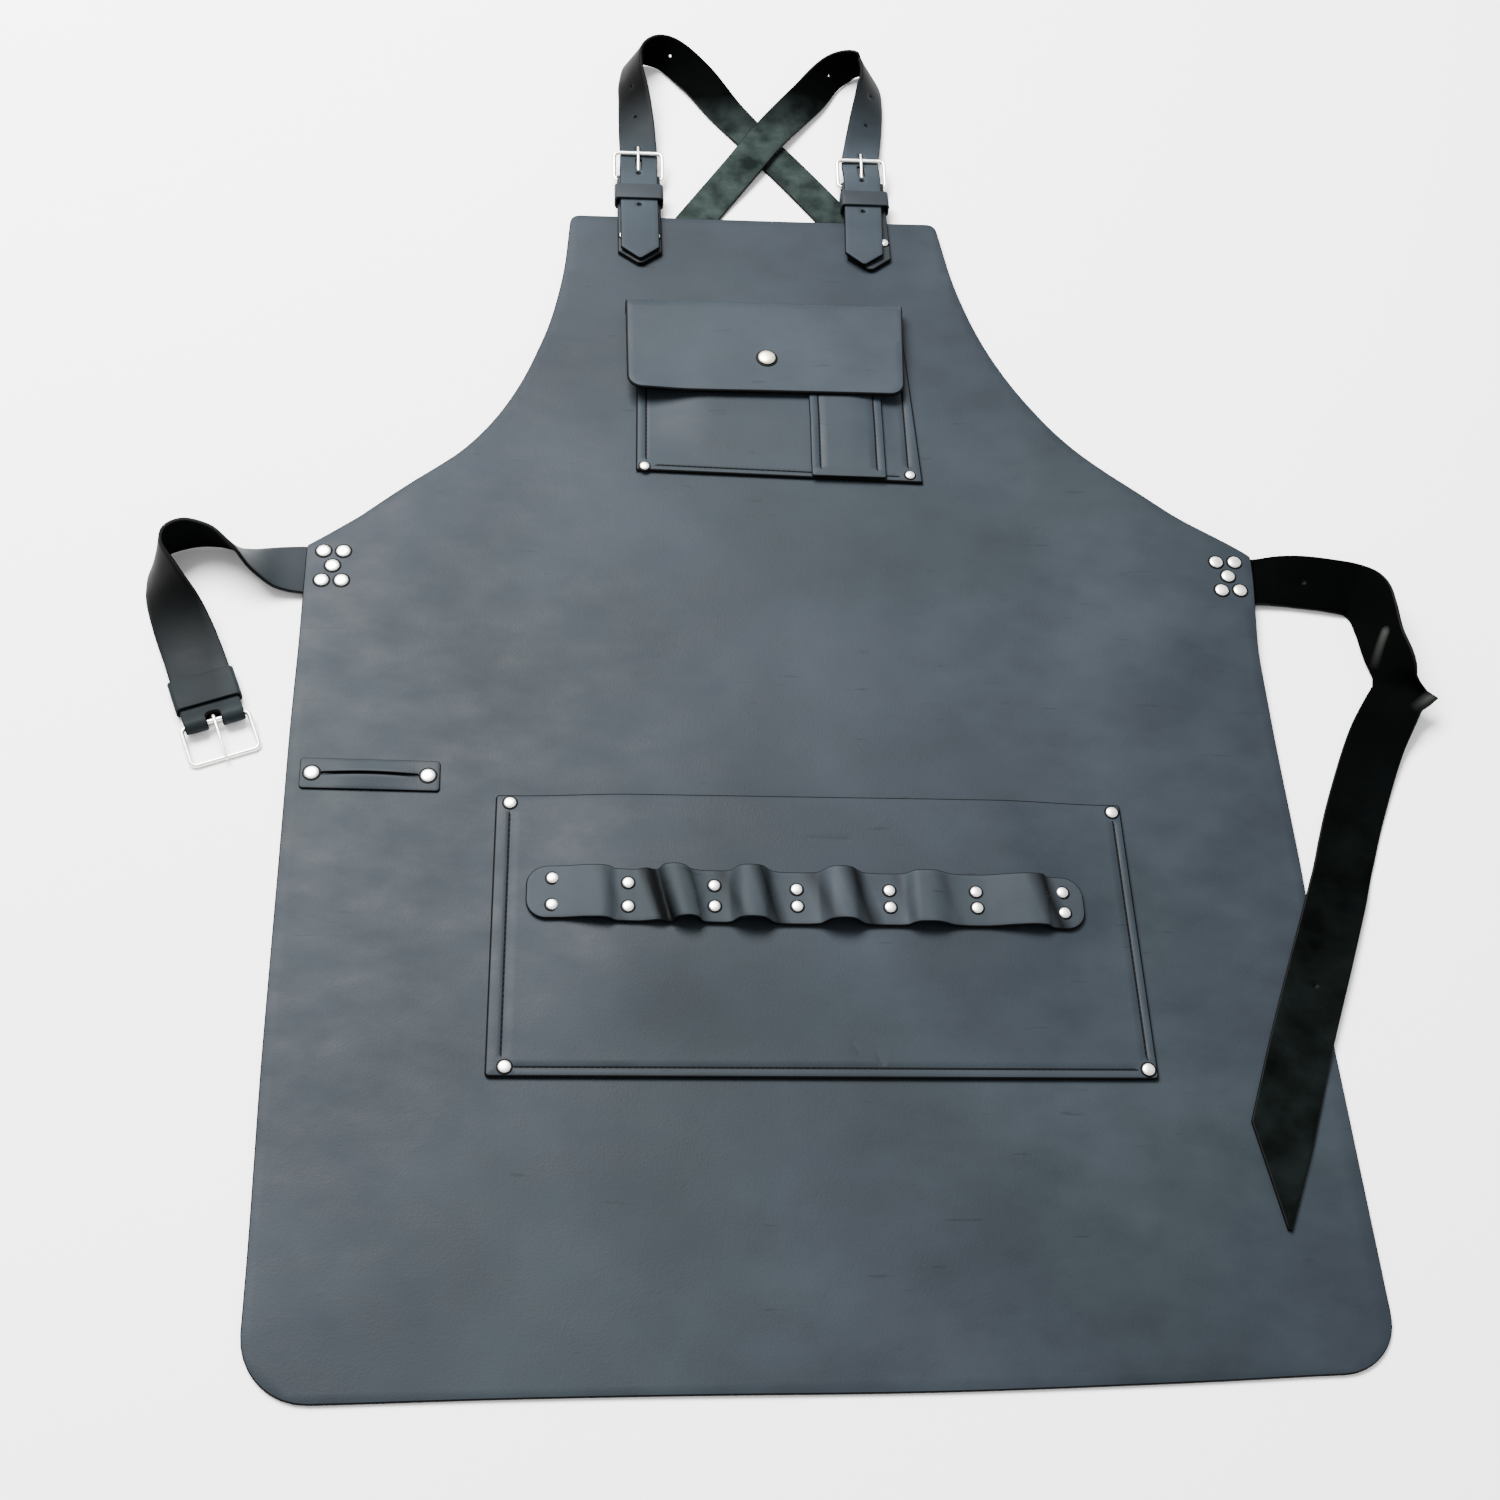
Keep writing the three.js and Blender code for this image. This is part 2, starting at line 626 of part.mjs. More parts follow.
function buckleFrame(name, x) {
  const frame = piece(name, buckleRing(), NICKEL);
  frame.position.set(x, BUCKLE_TAB.bar + BUCKLE.reach / 2, (BUCKLE.low + BUCKLE.high) / 2);
  frame.rotation.x = Math.asin((BUCKLE.high - BUCKLE.low) / BUCKLE.reach);
}

function prongRows(x) {
  const radius = WRAP + PRONG.thick / 2;
  const top = BUCKLE.low + radius;
  const rest = BUCKLE.high + BUCKLE.bar / 2 + GAP + PRONG.thick / 2;
  return upright(x, [
    ...around(BUCKLE_TAB.bar, BUCKLE.low, radius, Math.PI, Math.PI / 2, 3),
    ...PRONG_ROWS.map((r) => ({ y: BUCKLE_TAB.bar + r.y, z: top + (rest - top) * r.share + r.bow })),
  ]);
}

function buckleProng(name, x) {
  piece(name, ribbon(prongRows(x), PRONG.width, PRONG.thick, { steps: 3 }), NICKEL);
}

function prongHole(x) {
  const room = 2 * PRONG.room;
  return ribbon(prongRows(x), PRONG.width + room, PRONG.thick + room, { steps: 3 });
}

function shoulderStrap(side, x, rows) {
  const strip = ribbon(rows, SHOULDER_WIDTH, STRAP_THICK, { point: SHOULDER_TIP });
  piece("shoulder_strap_" + side, cut(strip, prongHole(x)), DARK);
  buckleTab("buckle_tab_" + side, x);
  strapKeeper("strap_keeper_" + side, x);
  buckleFrame("buckle_frame_" + side, x);
  buckleProng("buckle_prong_" + side, x);
}

function waistStraps() {
  const right = ribbon(WAIST_RIGHT, WAIST_WIDTH, STRAP_THICK, {
    point: WAIST_TIP,
    pointAcross: WAIST_TIP_ACROSS,
    at: "end",
  });
  piece("waist_strap_right", right, DARK);
  const slot = new THREE.BoxGeometry(WAIST_END.slot, WAIST_SLOT_LENGTH, THROUGH);
  slot.rotateZ(WAIST_END.turn).translate(WAIST_END.x, WAIST_END.y, WAIST_END.z);
  const left = ribbon([...WAIST_LEFT, ...waistFold()], WAIST_WIDTH, STRAP_THICK);
  piece("waist_strap_left", cut(left, slot), DARK);
}

// Rows that take the left waist strap round its buckle's bar and back under itself
function waistFold() {
  const radius = WRAP + STRAP_THICK / 2;
  const out = { x: Math.sin(WAIST_END.turn), y: -Math.cos(WAIST_END.turn) };
  const path = around(0, WAIST_END.z, radius, Math.PI / 2, -Math.PI / 2, 4);
  for (const part of FOLD_STEPS) {
    path.push({ y: -part * WAIST_END.back, z: WAIST_END.z - radius });
  }
  return path.map(({ y, z }) => ({
    x: WAIST_END.x + y * out.x,
    y: WAIST_END.y + y * out.y,
    z,
    ax: out.y,
    ay: -out.x,
    az: 0,
  }));
}

// Keeper and plain buckle at the end of the left waist strap, with local +Y back along the strap
function waistBuckle() {
  const end = new THREE.Group();
  end.position.set(WAIST_END.x, WAIST_END.y, 0);
  end.rotation.z = WAIST_END.turn;
  apron.add(end);
  const low = KEEPER.thick;
  const high = WAIST_LEFT.at(-1).z + STRAP_THICK / 2 + 2 * GAP;
  const keeper = piece("waist_keeper", keeperRing(WAIST_WIDTH, high - low, WAIST_KEEPER.length), DARK, end);
  keeper.position.set(0, WAIST_KEEPER.back, (low + high) / 2);
  keeper.rotation.x = Math.PI / 2;
  const open = WAIST_BUCKLE.reach - BUCKLE.bar;
  const frame = ring(WAIST_BUCKLE.inside, open, BUCKLE.bar, BUCKLE.corner, BUCKLE.bar, BUCKLE.bevel);
  const prong = new THREE.BoxGeometry(PRONG.width, WAIST_BUCKLE.reach + BUCKLE.bar, PRONG.thick);
  prong.translate(0, 0, BUCKLE.bar / 2 + PRONG.thick / 2 - PRONG.sunk);
  const buckle = piece("waist_buckle", join(frame, prong), NICKEL, end);
  buckle.position.set(0, -WAIST_BUCKLE.reach / 2, (WAIST_END.z + WAIST_BUCKLE.rest) / 2);
  buckle.rotation.x = Math.asin((WAIST_END.z - WAIST_BUCKLE.rest) / WAIST_BUCKLE.reach);
}

// A low round cap, its flat side down at z = 0
function dome(diameter, height, sides) {
  const r = diameter / 2;
  const profile = CAP_PROFILE.map((p) => new THREE.Vector2(p.radius * r, p.height * height));
  const shape = new THREE.LatheGeometry(profile, sides);
  return bare(shape.rotateX(Math.PI / 2));
}

function rivet(name, x, y, z, diameter, group = apron) {
  piece(name, dome(diameter, CAP_HEIGHT, CAP_SIDES), NICKEL, group).position.set(x, y, z + GAP);
}

function rivets() {
  const { across, along } = WAIST_RIVETS;
  for (const side of ["left", "right"]) {
    FIVE.forEach(({ u, v }, i) => {
      const place = [WAIST_RIVETS[side] + (u * across) / 2, WAIST_RIVETS.y + (v * along) / 2];
      rivet("waist_rivet_" + side + "_" + (i + 1), ...place, bodyTop(...place), CAP.waist);
    });
  }
  STRIP_RIVETS.forEach((column, i) => {
    for (const [row, sign] of [["upper", 1], ["lower", -1]]) {
      const y = STRIP.y + (sign * column.spread) / 2;
      const z = lowerPanelTop(column.x, STRIP.y) + 2 * GAP + STRIP.thick;
      rivet("strip_rivet_" + row + "_" + (i + 1), column.x, y, z, CAP.strip, lowerPocket);
    }
  });
  for (const [side, sign] of [["left", -1], ["right", 1]]) {
    const inX = sign * (LOWER_POCKET.width / 2 - POCKET_INSET);
    const inY = LOWER_POCKET.length / 2 - POCKET_INSET;
    const sewn = SKIRT_Z + PANEL_THICK;
    rivet("pocket_rivet_top_" + side, inX, inY, sewn, CAP.lower, lowerPocket);
    rivet("pocket_rivet_low_" + side, inX, -inY, sewn, CAP.lower, lowerPocket);
    const bibX = sign * (BIB_POCKET.width / 2 - POCKET_INSET);
    const bibY = POCKET_INSET - BIB_POCKET.length / 2;
    rivet("bib_rivet_" + side, bibX, bibY, BIB_Z + PANEL_THICK, CAP.bib, bibPocket);
    const tabX = (TAB.left + TAB.right) / 2 + sign * (TAB.slit / 2 + TAB_RIVET_PAST_SLIT);
    rivet("tab_rivet_" + side, tabX, TAB.y, SKIRT_Z + TAB.thick, CAP.tab);
    for (const [edge, way] of [["inner", -1], ["outer", 1]]) {
      const strapX = BIB_LEAN + sign * (SHOULDER_X + (way * STRAP_RIVETS.apart) / 2);
      const top = BIB_Z + 2 * BUCKLE_TAB.thick + GAP;
      rivet("strap_rivet_" + side + "_" + edge, strapX, STRAP_RIVETS.y, top, CAP.strap);
    }
  }
}

body();
bibPanels();
flap();
piece("lower_pocket", pocketPanel(LOWER_POCKET, SKIRT_Z), GREY, lowerPocket);
toolStrip();
sideTab();
shoulderStrap("left", BIB_LEAN - SHOULDER_X, SHOULDER_LEFT);
shoulderStrap("right", BIB_LEAN + SHOULDER_X, SHOULDER_RIGHT);
waistStraps();
waistBuckle();
rivets();

apron.position.set(-MIDDLE_X, -MIDDLE_Y, 0);
const root = new THREE.Group();
root.add(apron);

export default root;
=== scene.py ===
"""Looks of the leather work apron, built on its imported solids.

Sizes are in millimetres from the middle of the waist, as in the part's source, until a mesh is made.
"""

import math

import bpy
import numpy as np
from mathutils import Matrix, Vector, noise
from mathutils.geometry import delaunay_2d_cdt


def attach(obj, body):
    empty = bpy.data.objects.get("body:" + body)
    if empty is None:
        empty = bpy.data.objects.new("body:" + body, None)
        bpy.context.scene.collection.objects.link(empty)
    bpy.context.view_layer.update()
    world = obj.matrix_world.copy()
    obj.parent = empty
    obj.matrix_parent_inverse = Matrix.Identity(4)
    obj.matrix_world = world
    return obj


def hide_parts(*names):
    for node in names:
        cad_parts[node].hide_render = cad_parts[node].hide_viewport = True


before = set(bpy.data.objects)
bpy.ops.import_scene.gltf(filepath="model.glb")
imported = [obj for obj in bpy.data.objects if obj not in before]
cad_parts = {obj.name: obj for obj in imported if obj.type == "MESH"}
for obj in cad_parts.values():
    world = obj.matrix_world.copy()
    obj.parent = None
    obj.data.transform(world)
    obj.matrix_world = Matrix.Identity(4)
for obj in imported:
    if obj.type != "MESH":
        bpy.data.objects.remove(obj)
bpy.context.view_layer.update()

# Middle of the whole apron, straps included, seen from the middle of the waist
MIDDLE = np.array([4.02, -11.34, 0.0])
MM = 0.001
QUARTER = math.pi / 2

# Body sheet
GAP = 0.4
HALF_WIDTH = 320
BODY_THICK = 2.4
BODY_CELL = 7
HEM_Y = -542
HEM_RADIUS = {"left": 38, "right": 34}
BIB_TOP_Y = 336
BIB_RADIUS = 7
BIB_LEAN = -6
ARMHOLE = [(320, 21), (262, 70), (218, 110), (188, 152), (162, 210), (147, 271), (140, 329)]
ARMHOLE_FOOT = ARMHOLE[0][1]

# Straps below raise the bib and the waist corners over these spans of x and y
STRAP_THICK = 2.6
BIB_LIFT = STRAP_THICK + GAP
CORNER_LIFT = STRAP_THICK + 2 * GAP
BIB_RAISED_Y = (-230, -24)
CORNER_RAISED_X = (165, 278)
CORNER_RAISED_Y = (-140, -24)

# Low swells of the leather: height, spread and seed
SWELLS = [(0.45, 130, 3.1), (0.2, 48, 7.7)]

# The right waist corner flares out, most at the foot of the armhole
FLARE = {"width": 8, "from": -70, "full": 21, "to": 60}

# Sag of the hem: place, spread and depth, and how far up it reaches
HEM_WAVES = [(60, 130, -2.2), (-280, 60, -0.6), (290, 60, 1.6)]
HEM_REACH = 60

# How the cut sheet lies off its square pattern: by how much, and over which spans
SIDE_IN = {"by": 3.4, "y": (-200, -330)}
SIDE_OUT = {"by": 1.6, "upper": (-40, -140), "lower": (-480, -330)}
CORNER_LOW = {"by": 3.5, "x": (250, HALF_WIDTH), "y": (-50, ARMHOLE_FOOT)}
TOP_RAISE = {"by": 1.2, "twice": (40, 130), "y": (BIB_TOP_Y - 16, BIB_TOP_Y)}

# Shift to the right of the left and right armholes, as height and shift
LEFT_SHIFT = [(21, 0), (45, 5.5), (100, 6), (150, 3), (200, 0.6), (336, 0.4)]
RIGHT_SHIFT = [(21, -1.5), (50, -1), (100, 3.4), (150, 4.4), (200, 3.6), (270, 2.6), (336, 2.4)]

# Cut edges, sunk seams, creases and marked holes of a sheet
EDGE = 0.7
ROUND = 0.47
SEAM_SIDE = 0.65
SEAM_DEEP = 0.45
SEAM_STEP = 2.5
CREASE_DEEP = 0.16
PIT_DEEP = 1.3
PIT_SIDES = 12
PIT_FLOOR = 0.72

# Pockets
PANEL_THICK = 2.4
SEWN = 9
PUFF = 4.4
BIB_POCKET = {"width": 199, "length": 148, "x": 1.5, "y": 157, "turn": math.radians(-1.2), "slope": 42}
LOWER_POCKET = {"width": 395, "length": 188, "x": 8, "y": -269.5, "turn": math.radians(-0.9), "slope": 75}
POCKET_INSET = 6
SEAM_IN = 7
SEAM_LOW = 4.5
SEAM_PAST_RIVET = 6
BIB_SEAM_TOP = 4
LOWER_SEAM_LOW = 6
STITCH = {"start": 0.45, "long": 2.9, "pitch": 3.7, "thick": 0.8, "sides": 6, "sunk": 0.15}

# Height and share of the thickness along one stitch
STITCH_ROWS = [(-0.5, 0.6), (-0.05, 1), (0.06, 1), (-0.05, 1), (-0.5, 0.6)]

# The bib pocket is cut a little out of square, the lower pocket a little wide on its left
SLANT = 3
WIDE_LEFT = 3
LOWER_CORNER = 2.5
CREASES = [
    [(-17.1, 64.0), (-13.5, 63.9)],
    [(-7.5, 63.7), (-1.5, 63.6), (9, 62.9), (22.4, 62.6)],
    [(14.1, -71.5), (19.6, -79.1)],
    [(28, -77.8), (33.3, -86)],
]

# Pen pocket, from the middle of the bib pocket, and its seams' distance from its sides and ends
PEN = {"left": 23.5, "right": 76.5, "bottom": -73, "top": 39, "thick": 1.6, "corner": 2}
PEN_SEAM = {"in": 6.5, "bottom": 6, "top": 3}

# Flap over the bib pocket, narrower on its right by its lower edge, with its left corner curled up
FLAP = {"left": -105, "right": 100, "bottom": 153.5, "top": 243, "thick": 2.8, "seam": 0.5}
FLAP_CLEAR = 1.4
FLAP_CORNER = 11
FLAP_TAPER = 5
FLAP_CURL = {"up": 2.2, "wide": 45, "long": 40}
FLAP_SWELL = {"height": 0.5, "wide": 60, "seed": 1.3, "along": (20, 60)}
SNAP = {"x": -4, "y": 184.8, "diameter": 15, "height": 2.6, "clear": 0.2}

# Tool strip, its pairs of rivets with their spread, and each loop's rise from one pair to the next
STRIP = {"left": -180, "right": 164.5, "y": 21, "width": 36, "thick": 2.0, "corner": 13, "flat": 6}
STRIP_EDGE = 0.8
STRIP_RIVETS = [(-164, 18), (-118, 16), (-65.5, 14), (-15, 11.5), (42.3, 11.5), (96.3, 11), (151.2, 14)]
STRIP_LOOPS = [
    [(0, 0), (0.2, 1.2), (0.45, 3), (0.7, 4), (0.82, 3.2), (0.92, 0.6), (1, 0)],
    [
        (0, 0), (0.12, 1.6), (0.22, 2.6), (0.32, 0.8), (0.39, 0.3), (0.45, 3.4),
        (0.53, 8.2), (0.66, 9.4), (0.78, 7.6), (0.9, 1.6), (1, 0),
    ],
    [
        (0, 0), (0.1, 1), (0.2, 6), (0.29, 9.2), (0.42, 10),
        (0.54, 9.6), (0.64, 7), (0.76, 2), (0.88, 0.4), (1, 0),
    ],
    [
        (0, 0), (0.14, 0.8), (0.26, 5.6), (0.36, 9.4), (0.48, 10.2),
        (0.58, 9.4), (0.7, 4.6), (0.82, 1), (1, 0),
    ],
    [
        (0, 0), (0.1, 0.8), (0.2, 4.2), (0.3, 6.2), (0.45, 6.4),
        (0.6, 5), (0.76, 1.6), (0.9, 0.4), (1, 0),
    ],
    [(0, 0), (0.2, 1.4), (0.45, 3.4), (0.7, 4.8), (0.8, 4.6), (0.92, 0.8), (1, 0)],
]

# The second loop is squashed askew: the rivets it lies between, its skew by share of the width,
# and the shares of its length over which the skew comes and goes
SKEW = {"from": -118.5, "to": -66, "share": 0.24, "comes": (0.05, 0.3), "goes": (0.95, 0.7)}

# The strip's left end is bent up, from the second rivet to the first, and its right part hangs a little
STRIP_BENT = {"rise": 3.4, "from": -112, "to": -164}
STRIP_SAG = {"drop": 0.9, "from": -90, "to": -10}

# Side tab with its slit, which puffs open
TAB = {"left": -313, "right": -226, "y": -156.5, "width": 22, "thick": 1.8, "corner": 2.5, "edge": 0.5}
TAB_SLIT = {"long": 60, "wide": 1.8, "round": 0.98, "puff": 2.6}
TAB_TURN = math.radians(-1.5)
TAB_RIVET_PAST_SLIT = 6

# Points along smooth lines, and steps round arcs
POINTS = {"armhole": 49, "flap": 41, "strip": 701, "loop": 81, "tab": 181, "prong": 43, "hook": 5}
STEPS = {
    "hem": 8, "bib": 3, "flap": 6, "roll": 18, "strip": 8,
    "slit": 4, "fold": 4, "wrap": 6, "wire": 6, "edge": 3,
}

# Sizes of the mesh cells
PANEL_CELLS = {"bib": 4.5, "pen": 4, "lower": 5, "flap": 4.5}
STRIP_CELL = 2.4
STRAP_CELL = 3.2
TAB_CELL = 3
SLOT_STEP = {"strap": 2.5, "tab": 2}

# Heights of the layers on the bib and the skirt
BIB_Z = BIB_LIFT + BODY_THICK + GAP
SKIRT_Z = BODY_THICK + GAP
STRIP_Z = SKIRT_Z + PANEL_THICK + 2 * GAP
FLAP_Z = BIB_Z + PUFF + PANEL_THICK + PEN["thick"] + FLAP_CLEAR

# Straps: widths and points, how blunt a point is, and radii of holes
SHOULDER_WIDTH = 29
SHOULDER_X = 87
SHOULDER_TIP = 11
WAIST_WIDTH = 38
WAIST_TIP = 58
WAIST_TIP_ACROSS = -0.8
BLUNT = {"half": 1.2, "back": 0.6}
HOLE = 2.0
EYE = 1.0
EYE_SIDES = 12
SLOT_ROUND = 0.9

# Lengths along a shoulder strap of its marked holes, of those punched through, and of the prong's slot
SHOULDER_HOLES = [55, 88, 121]
SHOULDER_EYES = [155, 186, 220, 253]
PRONG_SLOT = (92, 108)

# Lengths along the right waist strap of its sewing marks, worn nearly shut
WAIST_PITS = [68, 430]

# Its outer edge curls out where it lies down: length along it, spread, and push along x and y
CURL = [(187, 7, (-6.5, 0)), (195.5, 3.2, (10, 2))]
CURL_FROM = -7

# Buckles, with the tabs and keepers of the straps
BUCKLE_TAB = {"width": 33, "thick": 1.6, "foot": 285.5, "point": 11.5, "blunt": 2, "bar": 374}
BUCKLE_TAB_LIES = (28, 10)
BUCKLE_TAB_SLOT = {"half": 2.5, "reach": 9.5, "corner": 2.3}
KEEPER = {"thick": 1.6, "length": 15, "y": 354.5, "room": 1.2, "corner": 2.2, "edge": 0.5, "strap_z": 13}
BUCKLE = {"bar": 3, "inside": 34, "reach": 25, "low": 7.6, "high": 12.5, "corner": 3.5}
WIRE_SIDES = 12
WRAP = 2.4

# A prong's way from its bar to its rest: past the bar, share of the rise and height added
PRONG = {"thick": 2, "radius": 1.15, "steps": 3}
PRONG_ROWS = [(9, 0, 0.2), (16, 0.5, 0.6), (22, 1, 0), (29, 1, -0.3)]
PRONG_TAPER = [(0, 1), (0.15, 1), (0.6, 0.95), (1, 0.7)]

# Waist buckle on the folded end of the left waist strap
WAIST_END = {"x": -368, "y": -119.5, "z": 7, "turn": math.radians(20), "back": 55, "corner": 3}
WAIST_BACK_PARTS = (0.3, 0.65, 1)
WAIST_SLOT = {"half": 4.5, "reach": 11}
WAIST_KEEPER = {"length": 22, "back": 24}
WAIST_BUCKLE = {"inside": 40, "reach": 26, "rest": 1.7}
WAIST_PRONG = {"points": 24, "above": 2.3, "past": 3, "bow": 0.8, "radius": 1.2, "tip": 0.75}
WAIST_HOOK = {"back": 2.6, "from": 1.6, "to": 0.2}

# Rivets: places and diameters
WAIST_RIVETS = {"left": (-302, 0.8), "right": (309, 2), "across": 13, "along": 24}
STRAP_RIVETS = {"y": 313, "apart": 24}
LOW_LEFT_IN = 2.4
CAP = {"strip": 8.5, "lower": 9.2, "bib": 8, "tab": 11, "strap": 8, "waist": 11}
CAP_HEIGHT = 1.5
CAP_CLEAR = 0.05

# A pressed cap by share of its radius and height: a rolled rim, a low shoulder and a flat dome
CAP_ROWS = [
    (0.9, 0), (0.97, 0.06), (1, 0.2), (0.985, 0.36), (0.93, 0.52),
    (0.84, 0.68), (0.68, 0.83), (0.45, 0.94), (0.22, 0.985), (0, 1),
]

# The cap's dome by share of its diameter, and a ring of painted shade round its foot on the leather
DOME = 0.84
SHADE_RING = {"past": 0.35, "high": 0.12, "under": 0.95, "rows": 2}

# Straps as rows from end to end: x, y and z of the middle line, then the way across
SHOULDER_LEFT = [
    (-93, 287, 11.2, 1, 0, 0),
    (-93, 310, 13, 1, 0, 0),
    (-93, 345, 12.6, 1, 0, 0),
    (-93, 378, 13.1, 1, 0, 0),
    (-92.5, 399, 9, 1, 0, 0),
    (-93, 416, 8.4, 1, 0, 0.15),
    (-94, 440, 10.2, 0.92, 0, 0.4),
    (-95.5, 463, 13.2, 0.78, 0, 0.62),
    (-97.5, 486, 15.6, 0.6, -0.1, 0.8),
    (-93, 508, 16.2, 0.42, -0.2, 0.88),
    (-72, 514, 15, 0.3, 0.25, 0.9),
    (-47, 494.5, 9.4, 0.65, 0.6, 0.45),
    (-22, 459.5, 3.4, 0.82, 0.55, 0.12),
    (-2, 432.5, 1.6, 0.82, 0.57, 0),
    (20, 402, 1.3, 0.82, 0.57, 0),
    (50, 358, 1.3, 0.82, 0.57, 0),
    (105, 272, 1.3, 0.86, 0.5, 0),
    (134, 210, 1.3, 0.89, 0.45, 0),
    (160, 155, 1.3, 0.86, 0.5, 0),
    (190, 110, 1.3, 0.78, 0.62, 0),
    (299, -8, 1.3, 0.74, 0.67, 0),
]
SHOULDER_RIGHT = [
    (76, 287, 11.2, 1, -0.1, 0),
    (77, 310, 13, 1, -0.06, 0),
    (79, 345, 12.6, 1, -0.03, 0),
    (80.5, 378, 13.1, 1, 0, 0),
    (81, 399, 9, 1, 0, 0),
    (84, 416, 8.4, 1, 0, -0.15),
    (89, 444, 10.6, 0.92, 0, -0.4),
    (93, 468, 13.6, 0.78, 0, -0.62),
    (95, 489, 15.6, 0.6, 0.1, -0.8),
    (89, 506, 16, 0.42, 0.2, -0.88),
    (68, 500, 14.4, 0.38, -0.3, -0.87),
    (44, 472, 9.6, 0.7, -0.5, -0.4),
    (12, 431, 7.4, 0.8, -0.55, -0.08),
    (-11, 396, 5.6, 0.83, -0.55, 0),
    (-41, 352, 1.6, 0.86, -0.5, 0),
    (-64, 316, 1.3, 0.85, -0.52, 0),
    (-107, 250, 1.3, 0.87, -0.5, 0),
    (-138, 202, 1.3, 0.88, -0.48, 0),
    (-163, 155, 1.3, 0.86, -0.5, 0),
    (-192, 110, 1.3, 0.78, -0.62, 0),
    (-299, -8, 1.3, 0.74, -0.67, 0),
]
WAIST_LEFT = [
    (-281, 0, 4.5, 0, 1, 0),
    (-320, 0, 4.6, 0, 1, 0),
    (-338, 1, 6.4, -0.1, 1, -0.15),
    (-353, 4, 11.4, 0, 0.8, -0.55),
    (-364, 9, 16, 0, 0.55, -0.85),
    (-378, 16, 19, 0, 0.3, -0.95),
    (-396, 18, 19.6, 0, 0.15, -1),
    (-410, 11, 19.6, -0.15, 0.1, -1),
    (-414, -1, 18.8, -0.3, 0, -0.95),
    (-409.5, -18, 15.8, -0.6, 0, -0.7),
    (-397, -44, 9, -0.85, -0.25, -0.35),
    (-382, -80, 6.4, -0.93, -0.36, 0),
    (-376.2, -96.9, 6.4, -0.94, -0.34, 0),
    (-372.1, -108.2, 6.5, -0.94, -0.34, 0),
]
WAIST_RIGHT = [
    (294, 0, 4.5, 0, -1, 0),
    (310, 0, 4.5, 0, -1, 0),
    (331, 0.6, 4.7, 0, -1, -0.02),
    (346, -0.6, 7.8, 0, -0.97, -0.22),
    (362, -3.2, 10.2, 0, -0.93, -0.37),
    (380, -6, 10.6, -0.1, -0.91, -0.4),
    (397, -10.8, 11.2, -0.37, -0.8, -0.48),
    (402, -22, 16, -0.46, -0.52, -0.72),
    (403.2, -37.4, 17.8, -0.45, -0.28, -0.85),
    (403.5, -61, 18.9, -0.4, 0.06, -0.915),
    (407.3, -79.9, 18, -0.45, 0.2, -0.87),
    (411.5, -91, 10.8, -0.83, 0.34, -0.44),
    (404, -104, 7.8, -0.82, 0.45, -0.34),
    (389, -129, 3.4, -0.87, 0.48, -0.1),
    (364, -182, 1.3, -0.92, 0.4, 0),
    (351, -213, 2.6, -0.92, 0.4, 0.06),
    (340, -240, 4.6, -0.92, 0.4, 0.06),
    (323, -280, 4.6, -0.92, 0.4, 0),
    (294, -348, 4.2, -0.92, 0.4, 0),
    (252, -454, 4.2, -0.94, 0.34, 0),
]




# Small sums

NEAR = 1e-4
TINY = 1e-12
FLOOR_CLEAR = 0.05
ROW_STEPS = 14


def smooth(low, high, value):
    t = np.clip((np.asarray(value, float) - low) / (high - low), 0, 1)
    return t * t * (3 - 2 * t)


def bell(value, middle, wide):
    return np.exp(-(((value - middle) / wide) ** 2))


def unit(v):
    return v / np.maximum(np.linalg.norm(v, axis=-1, keepdims=True), TINY)


def rough(x, y, scale, seed):
    """Smooth noise from -1 to 1 at places in millimetres, with waves of about scale millimetres."""
    return np.array([noise.noise(Vector((a / scale, b / scale, seed))) for a, b in zip(x, y)])


def arc(x, y, radius, start, end, steps):
    """Points on an arc from one angle to another."""
    turns = np.linspace(start, end, steps + 1)
    return [(x + radius * math.cos(t), y + radius * math.sin(t)) for t in turns]


def circle(x, y, radius, count):
    return arc(x, y, radius, 0, 4 * QUARTER, count)[:-1]


def rounded(x0, x1, y0, y1, radius, steps=5):
    """Outline of a rectangle with round corners."""
    corners = [(x1 - radius, y0 + radius), (x1 - radius, y1 - radius)]
    corners += [(x0 + radius, y1 - radius), (x0 + radius, y0 + radius)]
    out = []
    for k, (x, y) in enumerate(corners):
        out += arc(x, y, radius, (k - 1) * QUARTER, k * QUARTER, steps)
    return out


def catmull(points, t):
    """Points at t from 0 to 1 on a centripetal Catmull-Rom line."""
    p = np.array(points, float)
    n = len(p)
    p = np.vstack([2 * p[0] - p[1], p, 2 * p[-1] - p[-2]])
    where = np.clip(np.asarray(t, float), 0, 1) * (n - 1)
    i = np.minimum(where.astype(int), n - 2)
    w = (where - i)[:, None]
    a, b, c, d = (p[i + k] for k in range(4))

    def apart(u, v, least):
        gap = np.sum((u - v) ** 2, axis=1)[:, None] ** 0.25
        return np.where(gap < NEAR, least, gap)

    d1 = apart(b, c, 1)
    d0 = apart(a, b, d1)
    d2 = apart(c, d, d1)
    m1 = ((b - a) / d0 - (c - a) / (d0 + d1) + (c - b) / d1) * d1
    m2 = ((c - b) / d1 - (d - b) / (d1 + d2) + (d - c) / d2) * d1
    return b + m1 * w + (-3 * b + 3 * c - 2 * m1 - m2) * w**2 + (2 * b - 2 * c + m1 + m2) * w**3


def lengths(points):
    """Length along a line up to each of its points."""
    return np.concatenate([[0], np.cumsum(np.linalg.norm(np.diff(points, axis=0), axis=1))])


